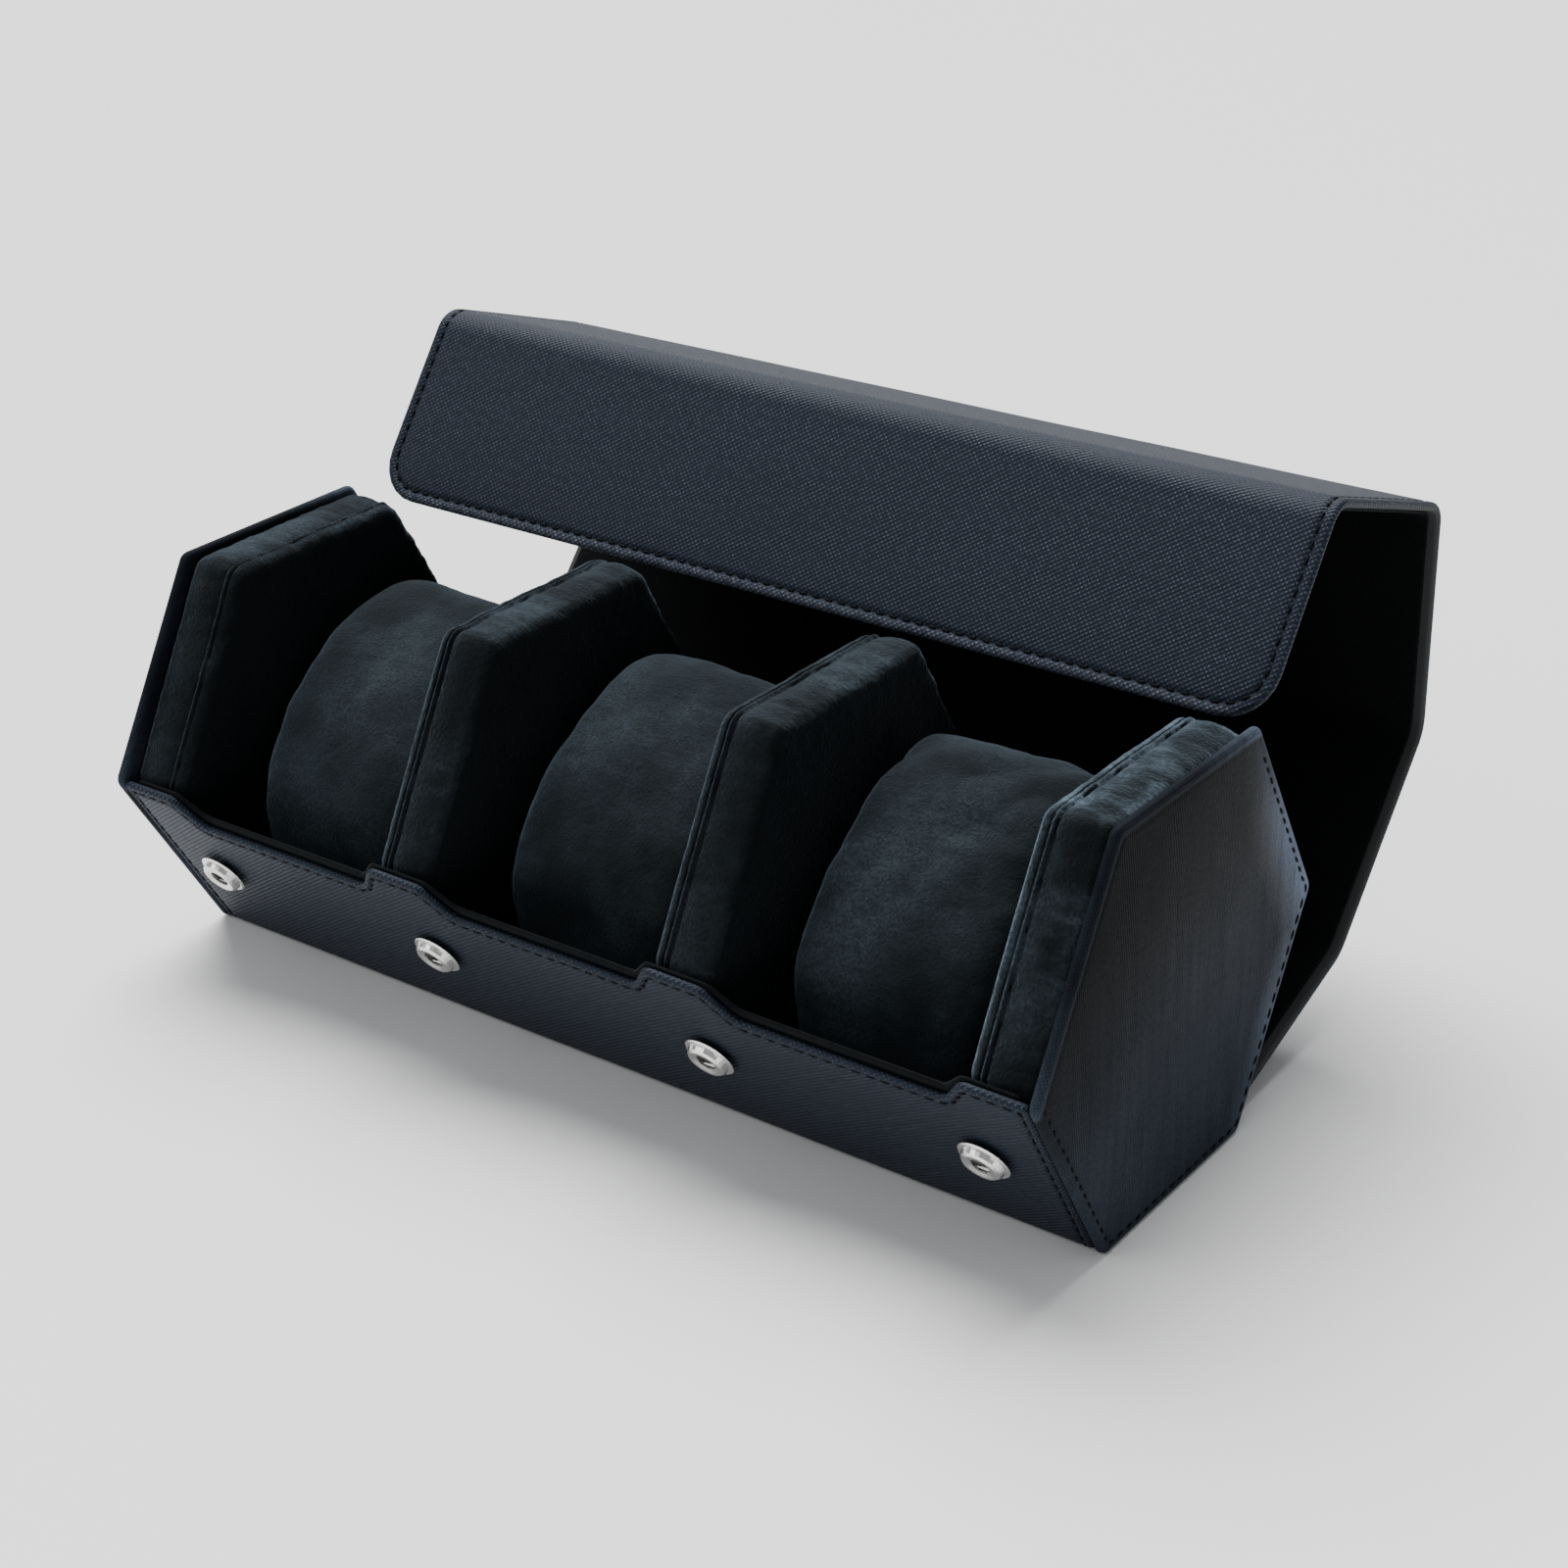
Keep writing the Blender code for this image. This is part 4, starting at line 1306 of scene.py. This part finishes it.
def stitch_tree():
    """A row of stitches along a line, as a Geometry Nodes tree."""
    tree = bpy.data.node_groups.new("stitch_row", "GeometryNodeTree")
    given = {
        "Geometry": "Geometry", "Count": "Int", "Length": "Float", "Width": "Float", "Seed": "Int",
        "Thread": "Material",
    }
    for name, kind in given.items():
        tree.interface.new_socket(name, in_out="INPUT", socket_type=f"NodeSocket{kind}")
    tree.interface.new_socket("Geometry", in_out="OUTPUT", socket_type="NodeSocketGeometry")
    start = add(tree, "NodeGroupInput").outputs
    line = add(tree, "GeometryNodeMeshToCurve", {0: start["Geometry"]}).outputs[0]
    spots = add(tree, "GeometryNodeResampleCurve", {"Curve": line, "Count": start["Count"]}, mode="COUNT")
    ball = add(tree, "GeometryNodeMeshUVSphere", {"Segments": 6, "Rings": 4, "Radius": 0.5}).outputs["Mesh"]
    smooth = add(tree, "GeometryNodeSetShadeSmooth", {"Geometry": ball}).outputs[0]
    width = start["Width"]
    scale = add(tree, "ShaderNodeCombineXYZ", {"X": start["Length"], "Y": width, "Z": width}).outputs[0]
    stitch = add(tree, "GeometryNodeTransform", {"Geometry": smooth, "Scale": scale}).outputs[0]
    tangent = add(tree, "GeometryNodeInputTangent").outputs[0]
    aim = add(tree, "FunctionNodeAlignRotationToVector", {"Vector": tangent}, axis="X").outputs[0]
    slants = {2: STITCH_SLANT[0], 3: STITCH_SLANT[1], "Seed": start["Seed"]}
    slant = add(tree, "FunctionNodeRandomValue", slants, data_type="FLOAT").outputs[1]
    euler = add(tree, "ShaderNodeCombineXYZ", {"Z": slant}).outputs[0]
    turn = add(tree, "FunctionNodeEulerToRotation", {0: euler}).outputs[0]
    turns = {"Rotation": aim, "Rotate By": turn}
    laid = add(tree, "FunctionNodeRotateRotation", turns, rotation_space="LOCAL").outputs[0]
    put = {"Points": spots.outputs[0], "Instance": stitch, "Rotation": laid}
    row = add(tree, "GeometryNodeInstanceOnPoints", put).outputs[0]
    real = add(tree, "GeometryNodeRealizeInstances", {0: row}).outputs[0]
    sewn = add(tree, "GeometryNodeSetMaterial", {"Geometry": real, "Material": start["Thread"]}).outputs[0]
    add(tree, "NodeGroupOutput", {0: sewn})
    return tree


def set_inputs(modifier, values):
    """Set a Geometry Nodes modifier's named inputs, by each socket's identifier."""
    for item in modifier.node_group.interface.items_tree:
        if item.in_out == "INPUT" and item.name in values:
            modifier[item.identifier] = values[item.name]


def path_length(points):
    return sum((b - a).length for a, b in zip(points, points[1:]))


def trimmed(points, amount):
    """An open line with the same amount taken off both ends."""
    for _ in range(2):
        left = amount
        while (points[1] - points[0]).length <= left:
            left -= (points[1] - points[0]).length
            points = points[1:]
        points = [points[0] + (points[1] - points[0]).normalized() * left] + points[1:]
        points = points[::-1]
    return points


def edge_lines(half, start, end):
    """Two straight lines along the wrap, one at each end of the roll."""
    return [[Vector((x, start)), Vector((x, end))] for x in (-half, half)]


def stitch_rows(name, lines, place, depth):
    """Stitches along lines drawn on the flat plan, then set on the surface."""
    size = sizes()
    tree = bpy.data.node_groups.get("stitch_row") or stitch_tree()
    thread = finish("waxed_thread", thread_material)
    bm = bmesh.new()
    for points in lines:
        run = path_length(points)
        count = max(1, round(run / size.stitch_pitch))
        points = trimmed(points, run / count / 2)
        flat = bpy.data.meshes.new("seam")
        flat.from_pydata([(*p, 0.0) for p in points], [(i, i + 1) for i in range(len(points) - 1)], [])
        seam = new_object("seam", flat)
        rows = seam.modifiers.new("stitches", "NODES")
        rows.node_group = tree
        set_inputs(rows, {
            "Count": count, "Length": size.stitch_length, "Width": size.thread_width,
            "Seed": SEED, "Thread": thread,
        })
        bm.from_mesh(evaluated_mesh(seam))
        bpy.data.objects.remove(seam)
    for vert in bm.verts:
        vert.co = place(vert.co.x, vert.co.y, depth - vert.co.z)
    bmesh.ops.recalc_face_normals(bm, faces=bm.faces)
    mesh = bpy.data.meshes.new(name)
    bm.to_mesh(mesh)
    bm.free()
    mesh.shade_smooth()
    mesh.materials.append(thread)
    return new_object(name, mesh)


class WATCHROLL_OT_stitching(bpy.types.Operator):
    """Sew the rows of stitches along the leather's edges"""

    bl_idname = "watch_roll.stitching"
    bl_label = "Stitching"

    def execute(self, context):
        size = sizes()
        bead, sunk = size.bead_width, size.groove_depth * STITCH_SINK
        lines = [ring(dip_corners(WRAP_HALF, size.recess_depth, LEATHER_DIP_RADIUS), NARROW_BEAD, True)]
        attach(stitch_rows("front_stitches", lines, on_wrap, sunk), "base")
        for k, before, after in lid_chain():
            start = WRAP.after(k)
            lines = edge_lines(LID_HALF - bead, WRAP.before(k), start)
            blend_over(stitch_rows(f"{after}_crease_stitches", lines, on_wrap, sunk), k, before, after)
            if after == LID_BODIES[-1]:
                corners = flap_corners(LID_HALF, start, WRAP.stations[-1], size.flap_corner)
                lines = [ring(corners, bead, True)]
            else:
                lines = edge_lines(LID_HALF - bead, start, WRAP.before(k + 1))
            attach(stitch_rows(f"{after}_stitches", lines, on_wrap, sunk), after)
        lines = edge_lines(WRAP_HALF - NARROW_BEAD, WRAP.before(FOLD_FRONT), WRAP.before(FOLD_REAR))
        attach(stitch_rows("bottom_stitches", lines, on_wrap, sunk), "base")
        sunk *= END_GROOVE_SHARE
        for side, sign in zip(SIDES, (-1, 1)):
            line = sewn_sides(ring(hexagon_corners(HEX_SIDE, END_CORNER), END_BEAD))
            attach(stitch_rows(f"{side}_end_stitches", [line], on_end(sign), sunk), "base")
        return {"FINISHED"}


# Stage

CAMERA_PLACE = (0.3252, -0.4006, 0.3061)
CAMERA_AZIMUTH = 36.895
CAMERA_ELEVATION = 26.172
CAMERA_ROLL = -1.226
CAMERA_LENS = 66.62
CAMERA_CLIP = (0.01, 50.0)
# Name, kind, place, power, and the sun's spread in degrees or the soft box's width in metres
LAMPS = (
    ("overhead", "SUN", (-0.5, 0.5, 1.3), 6.2, 55),
    ("front", "AREA", (-0.6, -0.8, 0.75), 4.0, 0.8),
)
FLOOR_WIDTH = 12.0
ROOM_COLOUR = (0.95, 0.97, 1.0, 1.0)
ROOM_LIGHT = 0.38


def camera_turn():
    azimuth, elevation, roll = (math.radians(a) for a in (CAMERA_AZIMUTH, CAMERA_ELEVATION, CAMERA_ROLL))
    level = math.cos(elevation)
    back = Vector((math.sin(azimuth) * level, -math.cos(azimuth) * level, math.sin(elevation)))
    right = Vector((math.cos(azimuth), math.sin(azimuth), 0.0))
    up = back.cross(right)
    return Matrix((right, up, back)).transposed() @ Matrix.Rotation(roll, 3, "Z")


def soft_light(name, kind, place, power, spread):
    """A lamp that looks at the roll from a place, either a wide sun or a round soft box."""
    data = bpy.data.lights.new(name, kind)
    data.energy = power
    if kind == "SUN":
        data.angle = math.radians(spread)
    else:
        data.shape = "DISK"
        data.size = spread
    lamp = new_object(name, data)
    lamp.location = place
    middle = Vector((0.0, 0.0, IN_RADIUS))
    lamp.rotation_euler = (middle - Vector(place)).to_track_quat("-Z", "Y").to_euler()


class WATCHROLL_OT_stage(bpy.types.Operator):
    """Set the pale floor, the soft lights and the camera"""

    bl_idname = "watch_roll.stage"
    bl_label = "Stage"

    def execute(self, context):
        scene = context.scene
        bpy.ops.mesh.primitive_plane_add(size=FLOOR_WIDTH)
        floor = context.active_object
        floor.name = "studio_floor"
        material, tree, shader = new_material("studio_floor")
        fill_inputs(tree, shader, {"Base Color": colours().floor, "Roughness": 0.7})
        floor.data.materials.append(material)
        world = bpy.data.worlds.new("studio")
        world.use_nodes = True
        background = world.node_tree.nodes["Background"]
        fill_inputs(world.node_tree, background, {"Color": ROOM_COLOUR, "Strength": ROOM_LIGHT})
        scene.world = world
        for lamp in LAMPS:
            soft_light(*lamp)
        data = bpy.data.cameras.new("camera")
        data.lens = CAMERA_LENS
        data.clip_start, data.clip_end = CAMERA_CLIP
        camera = new_object("camera", data)
        camera.location = CAMERA_PLACE
        camera.rotation_euler = camera_turn().to_euler()
        scene.camera = camera
        return {"FINISHED"}


class WATCHROLL_PT_dressing(bpy.types.Panel):
    """Lists the steps that dress the roll"""

    bl_label = "Watch Roll"
    bl_space_type = "VIEW_3D"
    bl_region_type = "UI"
    bl_category = "Watch Roll"

    def draw(self, context):
        for step in STEPS:
            self.layout.operator(step.bl_idname)


STEPS = (
    WATCHROLL_OT_leather_wrap,
    WATCHROLL_OT_linings,
    WATCHROLL_OT_end_panels,
    WATCHROLL_OT_plush_slabs,
    WATCHROLL_OT_cushions,
    WATCHROLL_OT_snaps,
    WATCHROLL_OT_stitching,
    WATCHROLL_OT_stage,
)
CLASSES = (WatchRollSizes, WatchRollColours, *STEPS, WATCHROLL_PT_dressing)


def register():
    for item in CLASSES:
        bpy.utils.register_class(item)
    bpy.types.Scene.watch_roll_sizes = PointerProperty(type=WatchRollSizes)
    bpy.types.Scene.watch_roll_colours = PointerProperty(type=WatchRollColours)


def unregister():
    del bpy.types.Scene.watch_roll_sizes
    del bpy.types.Scene.watch_roll_colours
    for item in reversed(CLASSES):
        bpy.utils.unregister_class(item)


def main():
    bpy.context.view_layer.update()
    register()
    bpy.ops.watch_roll.leather_wrap()
    bpy.ops.watch_roll.linings()
    bpy.ops.watch_roll.end_panels()
    bpy.ops.watch_roll.plush_slabs()
    bpy.ops.watch_roll.cushions()
    bpy.ops.watch_roll.snaps()
    bpy.ops.watch_roll.stitching()
    bpy.ops.watch_roll.stage()


if __name__ == "__main__":
    main()
